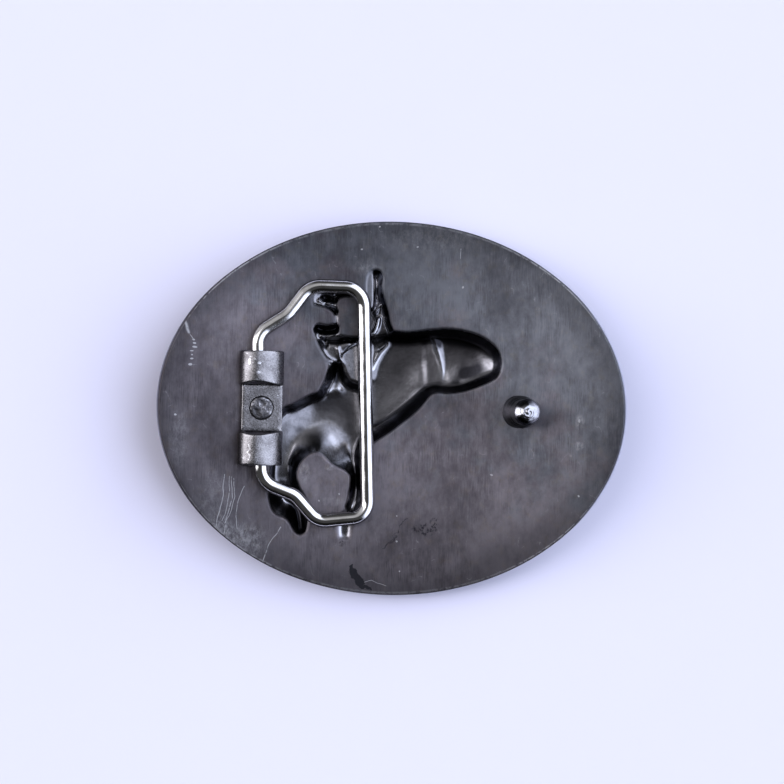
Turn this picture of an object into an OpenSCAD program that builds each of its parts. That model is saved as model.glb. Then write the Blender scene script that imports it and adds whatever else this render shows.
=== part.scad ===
// Oval belt buckle, lying on its front with its hollow back up.
// +Z is up, +X runs from the wire loop's hinge to the belt stud, +Y across the belt.
// The origin is under the middle of the buckle, on the surface that it lies on.

/* [Plate] */
// Length of the oval plate along X, measured over its front edge
plate_l = 85.2; // [76:0.2:96]
// Width of the oval plate along Y
plate_w = 68.2; // [62:0.2:76]
// Thickness of the cast plate away from the figure
plate_t = 2.6; // [2.2:0.1:3.2]
// Radius to which the plate is bowed, about an axis along Y
bow_r = 165; // [140:5:260]
// Height of the back face above the resting surface at the middle
back_h = 4.4; // [4.2:0.1:4.8]

/* [Figure] */
// Cast wall left between the figure's hollow back and its raised front
figure_wall = 1.3; // [1.0:0.1:1.6]
// Width of the rounded wall around the figure's hollow
wall_w = 2.2; // [1.6:0.1:2.8]

/* [Belt stud] */
// Radius of the stud's straight shank, which the belt's hole slides over
stud_r = 2.4; // [1.8:0.1:2.6]
// Radius of the stud's foot
stud_foot_r = 2.95; // [2.6:0.05:3.4]
// Length of the stud along its own axis
stud_l = 7.2; // [6:0.1:9]
// Lean of the stud away from the loop, from upright
stud_lean = 8; // [0:1:18]

/* [Hinge bracket] */
// Length of the bracket along the hinge
bracket_l = 20.7; // [19:0.1:23]
// Width of the two arches
arch_w = 8.0; // [7.6:0.1:9]
// Height of the arches over the bracket's foot
arch_h = 4.0; // [3.9:0.05:4.5]
// Thickness of the bracket's metal
bracket_t = 1.1; // [0.9:0.1:1.2]
// Length of the flat middle between the arches
middle_l = 8.4; // [7.6:0.1:9]
// Radius of the peened rivet
rivet_r = 2.05; // [1.6:0.05:2.4]

/* [Wire loop] */
// Diameter of the loop's wire
wire_d = 2.55; // [2.0:0.05:2.6]
// Distance from the hinge axis to the loop's far bar
loop_reach = 19.4; // [18:0.05:21]

/* [Hidden] */

// Gap between pieces that sit against each other
seat_gap = 0.08;

// Bow of the back face: height over the middle, and lean of its normal, at x
function bow(x) = bow_r - sqrt(bow_r * bow_r - x * x);
function bow_lean(x) = asin(x / bow_r);
function back_z(x) = back_h + bow(x);

// The figure's masses, seen from the back: a tapered limb from one round end to the other
// columns: x and y of one end, its radius, x and y of the other end, its radius, depth of hollow
FIGURE = [
    // hindquarters and barrel
    [10.0,   8.9, 5.9,  15.2,   8.9, 4.8, 3.4],
    [ 4.5,   7.9, 6.1,  10.0,   8.9, 5.9, 3.4],
    [ 4.0,   7.6, 6.2,  -3.0,   1.4, 6.1, 3.4],
    [-3.0,   1.4, 6.1,  -9.5,  -3.4, 5.8, 3.4],
    // shoulder, neck and hanging head
    [-9.5,  -3.2, 5.6, -14.6,  -3.2, 4.9, 3.2],
    [-14.6, -3.2, 4.9, -18.0,  -6.0, 3.4, 3.0],
    [-18.0, -6.0, 3.4, -19.2, -11.0, 2.7, 2.8],
    [-19.2, -11.0, 2.7, -19.5, -16.4, 2.6, 2.6],
    [-19.5, -16.6, 2.5, -18.6, -18.4, 2.1, 2.5],
    [-18.6, -18.4, 2.1, -16.4, -21.9, 1.6, 2.4],
    // foreleg and hoof
    [-9.6,  -6.6, 3.1,  -6.6, -11.6, 1.3, 2.6],
    [-6.4, -11.6, 1.3,  -6.3, -18.0, 1.1, 2.2],
    [-6.4, -18.0, 1.1,  -7.9, -22.4, 1.2, 1.4],
    // rider's seat, thigh and body
    [-0.8,   9.4, 4.6,  -6.6,   7.6, 4.2, 2.8],
    [-8.4,   6.4, 3.6,  -9.4,   3.4, 3.2, 2.6],
    [-9.4,   9.4, 2.0, -12.2,  12.0, 2.2, 2.2],
    // rider's head and hat
    [-12.2, 12.4, 2.0, -12.2,  16.6, 1.8, 1.4],
    [-12.2, 18.6, 1.6, -10.0,  19.8, 1.6, 1.3],
    // rider's raised arm
    [-1.8,  13.4, 2.2,  -3.2,  18.6, 1.8, 2.2],
    [-3.2,  18.6, 1.8,  -3.6,  23.8, 1.5, 1.8],
];

// How far the point (x, y) lies inside a limb's outline, and how deep the hollow is there
function limb_run(l, x, y) =
    let (ax = l[3] - l[0], ay = l[4] - l[1])
    max(0, min(1, ((x - l[0]) * ax + (y - l[1]) * ay) / (ax * ax + ay * ay)));
function limb_inset(l, x, y, grow) =
    let (s = limb_run(l, x, y))
    l[2] + (l[5] - l[2]) * s + grow
        - norm([x - l[0] - (l[3] - l[0]) * s, y - l[1] - (l[4] - l[1]) * s]);
function round_wall(s) = s >= 1 ? 1 : s * (2 - s);
function limb_depth(l, x, y, grow) =
    let (inset = limb_inset(l, x, y, grow))
    inset <= 0 ? 0 : (l[6] + grow) * round_wall(inset / (wall_w + grow));
function figure_depth(x, y, grow = 0) = max([for (l = FIGURE) limb_depth(l, x, y, grow)]);

// The plate's skins share one lattice, close-meshed over the figure and wide beyond it
FINE_X = 42;
FINE_Y = 43;
function spread(low, from, to, high, before, within, after) = concat(
    [for (i = [0 : before - 1]) low + (from - low) * i / before],
    [for (i = [0 : within - 1]) from + (to - from) * i / within],
    [for (i = [0 : after]) to + (high - to) * i / after]);
LATTICE_U = spread(-1, -0.64, 0.54, 1, 4, FINE_X, 4);
LATTICE_V = spread(-1, -0.75, 0.80, 1, 3, FINE_Y, 4);
NU = len(LATTICE_U) - 1;
NV = len(LATTICE_V) - 1;

// The front edge stands out from the back edge, because the plate's edge is square to the bow
edge_lean = asin((plate_l / 2 - plate_t * (plate_l / 2) / bow_r) / bow_r);
back_l = plate_l - 2 * plate_t * sin(edge_lean);

// A point of the lattice's square, carried onto the oval
function oval_x(u, v) = back_l / 2 * u * sqrt(1 - v * v / 2);
function oval_y(u, v) = plate_w / 2 * v * sqrt(1 - u * u / 2);

function back_point(x, y) = [x, y, back_z(x) - figure_depth(x, y)];

// The front lies under the back, square to the bow, and is flattened where the buckle rests
function front_point(x, y) =
    let (proud = max(0, figure_depth(x, y, figure_wall) - plate_t))
    let (drop = plate_t + proud, lean = bow_lean(x))
    [x + drop * sin(lean), y, max(0, back_z(x) - drop * cos(lean))];

module buckle_plate() {
    cells = [for (v = LATTICE_V) for (u = LATTICE_U) [oval_x(u, v), oval_y(u, v)]];
    backs = [for (p = cells) back_point(p.x, p.y)];
    fronts = [for (p = cells) front_point(p.x, p.y)];
    total = len(cells);
    function at(i, j) = j * (NU + 1) + i;
    function under(i, j) = total + at(i, j);
    // Each cell of the back is split along the diagonal that follows the figure's edge
    function back_cell(i, j) =
        let (a = at(i, j), b = at(i + 1, j), c = at(i + 1, j + 1), d = at(i, j + 1))
        abs(backs[a].z - backs[c].z) < abs(backs[b].z - backs[d].z)
            ? [[a, c, b], [a, d, c]] : [[a, d, b], [b, d, c]];
    // The front takes the lattice two cells at a time, in a fan about their middle
    function front_ring(i, j) = [
        under(i, j), if (j == 0) under(i + 1, j),
        under(i + 2, j), if (i + 2 == NU) under(i + 2, j + 1),
        under(i + 2, j + 2), if (j + 2 == NV) under(i + 1, j + 2),
        under(i, j + 2), if (i == 0) under(i, j + 1)];
    function fan(hub, ring) =
        [for (k = [0 : len(ring) - 1]) [hub, ring[k], ring[(k + 1) % len(ring)]]];
    // The edge joins the two skins round the oval
    rim = concat(
        [for (i = [0 : NU - 1]) [i, 0]], [for (j = [0 : NV - 1]) [NU, j]],
        [for (i = [0 : NU - 1]) [NU - i, NV]], [for (j = [0 : NV - 1]) [0, NV - j]]);
    back_faces = [for (j = [0 : NV - 1]) for (i = [0 : NU - 1]) each back_cell(i, j)];
    front_faces = [for (j = [0 : 2 : NV - 2]) for (i = [0 : 2 : NU - 2])
        each fan(under(i + 1, j + 1), front_ring(i, j))];
    rim_faces = [for (k = [0 : len(rim) - 1])
        let (p = rim[k], q = rim[(k + 1) % len(rim)])
        each [[at(p.x, p.y), at(q.x, q.y), under(p.x, p.y)],
              [at(q.x, q.y), under(q.x, q.y), under(p.x, p.y)]]];
    color([0.36, 0.35, 0.38])
        polyhedron(concat(backs, fronts), concat(back_faces, front_faces, rim_faces));
}

// Places children on the back face at x, in its tangent plane
module on_back(x) {
    translate([x, 0, back_z(x)]) rotate([0, -bow_lean(x), 0]) children();
}

// The belt stud leans away from the loop, with its foot cut to the plate
stud_x = 23.5;
stud_y = -0.1;
stud_foot_l = 0.3;
stud_cone_l = 2.6;
stud_dome_l = 1.6;
module belt_stud() {
    root = 2;
    cut = 4 * stud_foot_r;
    straight_top = stud_l - stud_dome_l;
    color([0.62, 0.62, 0.66]) difference() {
        translate([stud_x, stud_y, back_z(stud_x)]) rotate([0, stud_lean, 0])
            rotate_extrude($fn = 64) polygon(concat(
                [[0, -root], [stud_foot_r, -root], [stud_foot_r, stud_foot_l],
                 [stud_r, stud_cone_l], [stud_r, straight_top]],
                [for (a = [15 : 15 : 90])
                    [stud_r * cos(a), straight_top + stud_dome_l * sin(a)]]));
        on_back(stud_x) translate([-cut / 2, -cut / 2, seat_gap - cut]) cube(cut);
    }
}

// The hinge bracket: its own frame has Y along the arches and Z out of the plate
bracket_x = -23.72;
bracket_y = -0.44;
middle_w = 7.4;
middle_x = 0.1;
// The arches are lopsided: round and steep behind their crest, and long and easy before it
crest_x = -1.0;
module arch_profile(inset, low) {
    half_w = arch_w / 2 - inset;
    top = arch_h - inset;
    back_r = half_w + crest_x;
    front_l = half_w - crest_x;
    polygon(concat(
        [for (a = [7.5 : 7.5 : 90]) [crest_x + front_l * cos(a), top * sin(a)]],
        [for (a = [97.5 : 7.5 : 180]) [crest_x + back_r * cos(a), top - back_r * (1 - sin(a))]],
        [[-half_w, low], [half_w, low]]));
}
module bracket_frame() {
    on_back(bracket_x) translate([0, bracket_y, seat_gap]) children();
}
module along_hinge(from, to) {
    translate([0, to, 0]) rotate([90, 0, 0]) linear_extrude(to - from) children();
}
module hinge_bracket() {
    lap = 0.3;
    past = 1;
    color([0.66, 0.66, 0.68]) bracket_frame() difference() {
        union() {
            for (side = [0, 1]) mirror([0, side, 0])
                along_hinge(middle_l / 2, bracket_l / 2) arch_profile(0, 0);
            translate([middle_x - middle_w / 2, -middle_l / 2 - lap, 0])
                cube([middle_w, middle_l + 2 * lap, bracket_t]);
        }
        for (side = [0, 1]) mirror([0, side, 0])
            along_hinge(middle_l / 2 + lap, bracket_l / 2 + past) arch_profile(bracket_t, -past);
        cylinder(h = 2 * arch_h, r = rivet_r + seat_gap, center = true, $fn = 64);
    }
}

// The rivet's post rises from the plate through the bracket and is peened into a low head
module hinge_rivet() {
    proud = 0.12;
    bevel = 0.25;
    top = bracket_t + proud;
    color([0.55, 0.55, 0.57]) bracket_frame() rotate_extrude($fn = 64)
        polygon([[0, 0], [rivet_r, 0], [rivet_r, top - bevel], [rivet_r - bevel, top], [0, top]]);
}

// The loop's centre line in its own frame: from the hinge axis out, and along the axis
// columns: distance out, distance along, bend radius at that corner
bar_slant = 0.25;
LOOP = [
    [0,                      5.2,    0],
    [0,                      13.6,   3.7],
    [5.6,                    16.95,  5.0],
    [9.65,                   21.95,  4.0],
    [loop_reach,             21.4,   3.6],
    [loop_reach - bar_slant, -20.2,  3.0],
    [9.95,                   -20.8,  3.4],
    [6.0,                    -16.0,  4.0],
    [0,                      -13.4,  3.8],
    [0,                      -5.4,   0],
];
loop_skew = 2.7;
hinge_x = -23.88;
hinge_y = -0.46;
hinge_h = 1.42;
hinge_foot = hinge_x + hinge_h * sin(bow_lean(hinge_x));
hinge_z = back_z(hinge_foot) + hinge_h * cos(bow_lean(hinge_foot));
bar_z = back_z(hinge_x + loop_reach) + wire_d / 2 + 0.12;
loop_dip = asin((hinge_z - bar_z) / loop_reach);

// Turn at corner k of the loop, and how much of each leg the bend takes up
function leg(k) = let (d = LOOP[k + 1] - LOOP[k]) [d.x, d.y];
function heading(k) = atan2(leg(k).y, leg(k).x);
function turn(k) =
    let (t = heading(k) - heading(k - 1)) t > 180 ? t - 360 : t < -180 ? t + 360 : t;
function bend_run(k) = LOOP[k][2] == 0 ? 0 : LOOP[k][2] * tan(abs(turn(k)) / 2);

// The bends are a hair fatter than the legs, whose ends run a little way into them
bend_lap = 0.1;
bend_extra = 0.02;
module wire_leg(from, to) {
    translate([from, 0, 0]) rotate([0, 90, 0]) cylinder(h = to - from, d = wire_d, $fn = 32);
}
module wire_bend(r, angle) {
    hand = sign(angle);
    translate([0, hand * r, 0]) rotate([0, 0, -90 * hand - (hand < 0 ? abs(angle) : 0)])
        rotate_extrude(angle = abs(angle), $fn = 72)
            translate([r, 0]) circle(d = wire_d + bend_extra, $fn = 32);
}
module wire_loop() {
    last = len(LOOP) - 1;
    color([0.80, 0.80, 0.80])
        translate([hinge_x, hinge_y, hinge_z]) rotate([0, 0, loop_skew]) rotate([0, loop_dip, 0])
        for (k = [0 : last - 1]) translate([LOOP[k].x, LOOP[k].y, 0]) rotate([0, 0, heading(k)]) {
            run = norm(leg(k)) - bend_run(k + 1);
            wire_leg(k == 0 ? 0 : bend_run(k) - bend_lap, k == last - 1 ? run : run + bend_lap);
            if (k < last - 1) translate([run, 0, 0]) wire_bend(LOOP[k + 1][2], turn(k + 1));
        }
}

buckle_plate();
belt_stud();
hinge_bracket();
hinge_rivet();
wire_loop();
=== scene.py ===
"""Dresses an oval western belt buckle that lies on its front, its hollow back, wire loop and stud up.

Lengths inside the classes are in millimetres, in the frame of the solids, and become metres where
a mesh is made. Up is +Z, the wire loop's hinge is at -X and the belt stud at +X.
"""

import logging
import math
from collections.abc import Sequence
from dataclasses import dataclass, field
from enum import Enum

import bmesh
import bpy
import numpy as np
from mathutils import Matrix, Vector


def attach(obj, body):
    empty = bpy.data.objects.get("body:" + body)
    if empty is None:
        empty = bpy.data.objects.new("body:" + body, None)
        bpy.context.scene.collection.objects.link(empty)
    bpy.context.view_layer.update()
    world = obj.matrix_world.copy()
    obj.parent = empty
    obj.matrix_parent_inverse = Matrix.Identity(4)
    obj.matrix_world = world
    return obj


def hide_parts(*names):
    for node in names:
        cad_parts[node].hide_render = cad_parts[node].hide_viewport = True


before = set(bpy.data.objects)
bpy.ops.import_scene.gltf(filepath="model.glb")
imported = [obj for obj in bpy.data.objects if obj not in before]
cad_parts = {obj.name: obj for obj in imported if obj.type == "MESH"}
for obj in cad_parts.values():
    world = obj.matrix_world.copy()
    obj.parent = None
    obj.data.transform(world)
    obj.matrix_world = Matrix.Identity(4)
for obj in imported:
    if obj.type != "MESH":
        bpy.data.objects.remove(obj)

MM = 0.001
Table = tuple[tuple[float, ...], ...]
Colour = tuple[float, float, float]
Pair = tuple[float, float]
Faces = list[tuple[int, ...]]
Socket = bpy.types.NodeSocket
log = logging.getLogger("buckle")


class Body(Enum):
    """The two bodies that pieces ride on."""

    BUCKLE = "buckle"
    LOOP = "loop"


class Slot(Enum):
    """The record's material slots."""

    PLATE = "plate_metal"
    STUD = "stud_metal"
    BRACKET = "bracket_metal"
    RIVET = "rivet_metal"
    WIRE = "wire_metal"


# Curves, distances and surfaces


def ease(value: np.ndarray | float, start: float, end: float) -> np.ndarray | float:
    """Goes smoothly from 0 at start to 1 at end."""
    share = np.clip((value - start) / (end - start), 0.0, 1.0)
    return share * share * (3.0 - 2.0 * share)


def smooth_through(points: Table, steps: int, closed: bool) -> np.ndarray:
    """Runs a smooth curve through points.

    Args:
        points: Corners of the curve, x and y in each row.
        steps: Pieces that each span between two corners is cut into.
        closed: Whether the curve returns to its first corner.

    Returns:
        The curve's points, two columns.
    """
    corners = np.array(points, float)
    if closed:
        around = np.vstack([corners[-1:], corners, corners[:2]])
    else:
        first = 2.0 * corners[:1] - corners[1:2]
        last = 2.0 * corners[-1:] - corners[-2:-1]
        around = np.vstack([first, corners, last])
    run = np.linspace(0.0, 1.0, steps, endpoint=False)[:, None]
    spans = []
    for k in range(len(around) - 3):
        a, b, c, d = around[k : k + 4]
        spans.append(
            b
            + 0.5 * run * (c - a)
            + run**2 * (a - 2.5 * b + 2.0 * c - 0.5 * d)
            + run**3 * (1.5 * (b - c) + 0.5 * (d - a))
        )
    if not closed:
        spans.append(corners[-1:])
    return np.vstack(spans)


def path_distance(x: np.ndarray, y: np.ndarray, path: np.ndarray) -> np.ndarray:
    """Finds how far places are from a path.

    Args:
        x: Places along X.
        y: Places along Y, of the same shape.
        path: The path's points, two columns.

    Returns:
        The distance from each place to the nearest point of the path.
    """
    nearest = np.full(x.shape, 1.0e9)
    for (ax, ay), (bx, by) in zip(path[:-1], path[1:]):
        dx, dy = bx - ax, by - ay
        length = dx * dx + dy * dy
        if length == 0.0:
            continue
        share = np.clip(((x - ax) * dx + (y - ay) * dy) / length, 0.0, 1.0)
        gap = (x - ax - dx * share) ** 2 + (y - ay - dy * share) ** 2
        nearest = np.minimum(nearest, gap)
    return np.sqrt(nearest)


def inset_from(x: np.ndarray, y: np.ndarray, outline: np.ndarray) -> np.ndarray:
    """Finds how far places lie inside a closed outline.

    Args:
        x: Places along X.
        y: Places along Y, of the same shape.
        outline: The outline's points, two columns, without its first point again.

    Returns:
        The distance to the outline, above 0 inside it and below 0 outside.
    """
    ring = np.vstack([outline, outline[:1]])
    inside = np.zeros(x.shape, bool)
    for (ax, ay), (bx, by) in zip(ring[:-1], ring[1:]):
        if ay == by:
            continue
        level = (ay > y) != (by > y)
        inside ^= level & (x < (bx - ax) * (y - ay) / (by - ay) + ax)
    return np.where(inside, 1.0, -1.0) * path_distance(x, y, ring)


class SpotSurface:
    """A smooth surface near spot heights, as a bent thin plate takes."""

    # how readily the plate stays away from its spots
    give = 0.02

    def __init__(self, spots: Table, column: int = 2) -> None:
        """Fits the surface.

        Args:
            spots: Place along X, place along Y and one or more heights, a row for each spot.
            column: Which column holds the height.
        """
        rows = np.array(spots, float)
        self.at = rows[:, :2]
        count = len(rows)
        gaps = np.linalg.norm(self.at[:, None] - self.at[None], axis=2)
        flat = np.hstack([np.ones((count, 1)), self.at])
        system = np.zeros((count + 3, count + 3))
        system[:count, :count] = self._bend(gaps) + self.give * np.eye(count)
        system[:count, count:] = flat
        system[count:, :count] = flat.T
        self.weights = np.linalg.solve(system, np.concatenate([rows[:, column], np.zeros(3)]))

    @staticmethod
    def _bend(gap: np.ndarray) -> np.ndarray:
        """The shape that one spot bends the plate to."""
        return gap**2 * np.log(gap + 1.0e-9)

    def height(self, x: np.ndarray, y: np.ndarray) -> np.ndarray:
        """Reads the surface.

        Args:
            x: Places along X.
            y: Places along Y, of the same shape.

        Returns:
            The height at each place.
        """
        total = self.weights[-3] + self.weights[-2] * x + self.weights[-1] * y
        for (ax, ay), weight in zip(self.at, self.weights):
            total = total + weight * self._bend(np.hypot(x - ax, y - ay))
        return total


def soften(height: np.ndarray, passes: int) -> np.ndarray:
    """Rounds a grid of heights by averaging neighbours.

    Args:
        height: The grid.
        passes: How many times it is averaged.

    Returns:
        A new grid of the same shape.
    """
    grid = height.copy()
    for _ in range(passes):
        wide = np.pad(grid, 1, mode="edge")
        grid = 0.25 * wide[:-2, 1:-1] + 0.5 * wide[1:-1, 1:-1] + 0.25 * wide[2:, 1:-1]
        wide = np.pad(grid, 1, mode="edge")
        grid = 0.25 * wide[1:-1, :-2] + 0.5 * wide[1:-1, 1:-1] + 0.25 * wide[1:-1, 2:]
    return grid


def make_piece(name: str, corners: np.ndarray, faces: Sequence[Sequence[int]]) -> bpy.types.Object:
    """Makes a smooth-shaded mesh object.

    Args:
        name: The piece's name.
        corners: Its corners in millimetres, three columns.
        faces: The corner numbers of each face.

    Returns:
        The new object, linked to the scene.
    """
    mesh = bpy.data.meshes.new(name)
    mesh.from_pydata((np.asarray(corners, float) * MM).tolist(), [], [list(f) for f in faces])
    mesh.validate()
    mesh.polygons.foreach_set("use_smooth", [True] * len(mesh.polygons))
    mesh.update()
    piece = bpy.data.objects.new(name, mesh)
    bpy.context.scene.collection.objects.link(piece)
    return piece


def turn_outward(piece: bpy.types.Object) -> None:
    """Turns every face of a closed piece outward.

    Args:
        piece: The piece, which is changed.
    """
    shell = bmesh.new()
    shell.from_mesh(piece.data)
    bmesh.ops.recalc_face_normals(shell, faces=shell.faces[:])
    shell.to_mesh(piece.data)
    shell.free()


def mark_corners(piece: bpy.types.Object, name: str, values: np.ndarray) -> None:
    """Gives each corner of a piece a number that its finish reads under a name."""
    mark = piece.data.attributes.new(name, "FLOAT", "POINT")
    mark.data.foreach_set("value", values.astype(np.float32))


def sharpen(piece: bpy.types.Object, degrees: float) -> None:
    """Marks the edges that turn by more than an angle as sharp."""
    piece.data.set_sharp_from_angle(angle=math.radians(degrees))


def tube_faces(rings: int, around: int, first: int = 0, closed: bool = False) -> Faces:
    """Lists the faces between closed rings of corners.

    Args:
        rings: Number of rings, one after another.
        around: Number of corners in each ring.
        first: Number of the first ring's first corner.
        closed: Whether the last ring is joined to the first.

    Returns:
        Four corner numbers for each face.
    """
    faces = []
    for r in range(rings if closed else rings - 1):
        here, there = first + r * around, first + (r + 1) % rings * around
        for k in range(around):
            after = (k + 1) % around
            faces.append((here + k, here + after, there + after, there + k))
    return faces


def capped_tube(rings: Sequence[np.ndarray]) -> tuple[np.ndarray, Faces]:
    """Joins rings of corners to a closed body.

    Args:
        rings: The rings in order, each with as many corners, three columns.

    Returns:
        All corners, and the faces between the rings and over the first and the last.
    """
    around = len(rings[0])
    last = (len(rings) - 1) * around
    caps = [tuple(reversed(range(around))), tuple(range(last, last + around))]
    return np.vstack(rings), tube_faces(len(rings), around) + caps


def circle_points(count: int) -> np.ndarray:
    """Points round a circle of radius 1, two columns."""
    angle = np.linspace(0.0, 2.0 * math.pi, count, endpoint=False)
    return np.stack([np.cos(angle), np.sin(angle)], -1)


@dataclass(frozen=True)
class Bow:
    """The plate's back face, bowed about an axis along Y."""

    radius: float = 165.0
    height: float = 4.4

    def lean(self, x: float | np.ndarray) -> float | np.ndarray:
        """The angle that the face leans at x, in radians."""
        return np.arcsin(np.asarray(x) / self.radius)

    def z(self, x: float | np.ndarray) -> float | np.ndarray:
        """The height of the face at x."""
        return self.height + self.radius - np.sqrt(self.radius**2 - np.asarray(x) ** 2)

    def seat(self, x: float, y: float, lift: float) -> Matrix:
        """Places a piece on the face.

        Args:
            x: Where the piece stands along X.
            y: Where it stands along Y.
            lift: Gap between the face and the piece.

        Returns:
            The matrix that carries the piece's own frame there, in millimetres.
        """
        place = Matrix.Translation((x, 0.0, float(self.z(x))))
        turn = Matrix.Rotation(-float(self.lean(x)), 4, "Y")
        return place @ turn @ Matrix.Translation((0.0, y, lift))


def placed(corners: np.ndarray, matrix: Matrix) -> np.ndarray:
    """Carries corners, three columns, through a matrix."""
    full = np.array(matrix)
    return corners @ full[:3, :3].T + full[:3, 3]


# Finishes


@dataclass(frozen=True)
class Noise:
    """A noise over a piece, and the levels between which its patches come up.

    It has some features to the millimetre and finer layers of some strength. Its coordinates are
    shifted, so that two noises differ, and then stretched.
    """

    scale: float
    detail: float = 3.0
    rough: float = 0.5
    stretch: tuple[float, float, float] = (1.0, 1.0, 1.0)
    shift: tuple[float, float, float] = (0.0, 0.0, 0.0)
    levels: Pair = (0.0, 1.0)


@dataclass(frozen=True)
class Scratch:
    """A mark along a path of points, x and y, with its width."""

    path: Table
    width: float


class Graph:
    """A tree of shader nodes that is built up from the values it passes on."""

    def __init__(self, tree: bpy.types.NodeTree) -> None:
        """Empties a tree and takes it over."""
        self.tree = tree
        self.tree.nodes.clear()

    def node(self, kind: str, **settings: object) -> bpy.types.Node:
        """Adds a node.

        Args:
            kind: The node's type.
            settings: Its own settings by name.

        Returns:
            The new node.
        """
        made = self.tree.nodes.new(kind)
        for key, value in settings.items():
            setattr(made, key, value)
        return made

    def feed(self, target: Socket, value: Socket | float | Sequence[float]) -> None:
        """Gives an input its value.

        Args:
            target: The input.
            value: The output to link to it, or a plain value.
        """
        if isinstance(value, bpy.types.NodeSocket):
            self.tree.links.new(value, target)
        else:
            target.default_value = value

    def math(self, operation: str, *values: Socket | float) -> Socket:
        """Adds a Math node.

        Args:
            operation: What it does.
            values: One to three numbers.

        Returns:
            Its result.
        """
        made = self.node("ShaderNodeMath", operation=operation)
        for target, value in zip(made.inputs, values):
            self.feed(target, value)
        return made.outputs[0]

    def times(self, *values: Socket | float) -> Socket:
        """Multiplies numbers.

        Args:
            values: Two or more numbers, the first an output.

        Returns:
            Their product.
        """
        product = values[0]
        for value in values[1:]:
            product = self.math("MULTIPLY", product, value)
        return product

    def vector(self, operation: str, *values: Socket | Sequence[float]) -> Socket:
        """Adds a Vector Math node.

        Args:
            operation: What it does.
            values: One or two vectors.

        Returns:
            Its result, a number for a length or a dot product and else a vector.
        """
        made = self.node("ShaderNodeVectorMath", operation=operation)
        for target, value in zip(made.inputs, values):
            self.feed(target, value)
        scalar = operation in ("LENGTH", "DOT_PRODUCT")
        return made.outputs["Value" if scalar else "Vector"]

    def scaled(self, vector: Socket | Sequence[float], factor: Socket | float) -> Socket:
        """Adds a vector or colour scaled by a number.

        Args:
            vector: The vector or colour.
            factor: What it is multiplied by.

        Returns:
            The scaled vector.
        """
        made = self.node("ShaderNodeVectorMath", operation="SCALE")
        self.feed(made.inputs[0], vector)
        self.feed(made.inputs["Scale"], factor)
        return made.outputs["Vector"]

    def band(self, value: Socket, start: float, end: float) -> Socket:
        """Adds a smooth step.

        Args:
            value: The number that is judged.
            start: Where the step is 0.
            end: Where the step is 1.

        Returns:
            The step's share.
        """
        made = self.node("ShaderNodeMapRange", interpolation_type="SMOOTHSTEP")
        for key, number in (("Value", value), ("From Min", start), ("From Max", end)):
            self.feed(made.inputs[key], number)
        return made.outputs["Result"]


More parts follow.
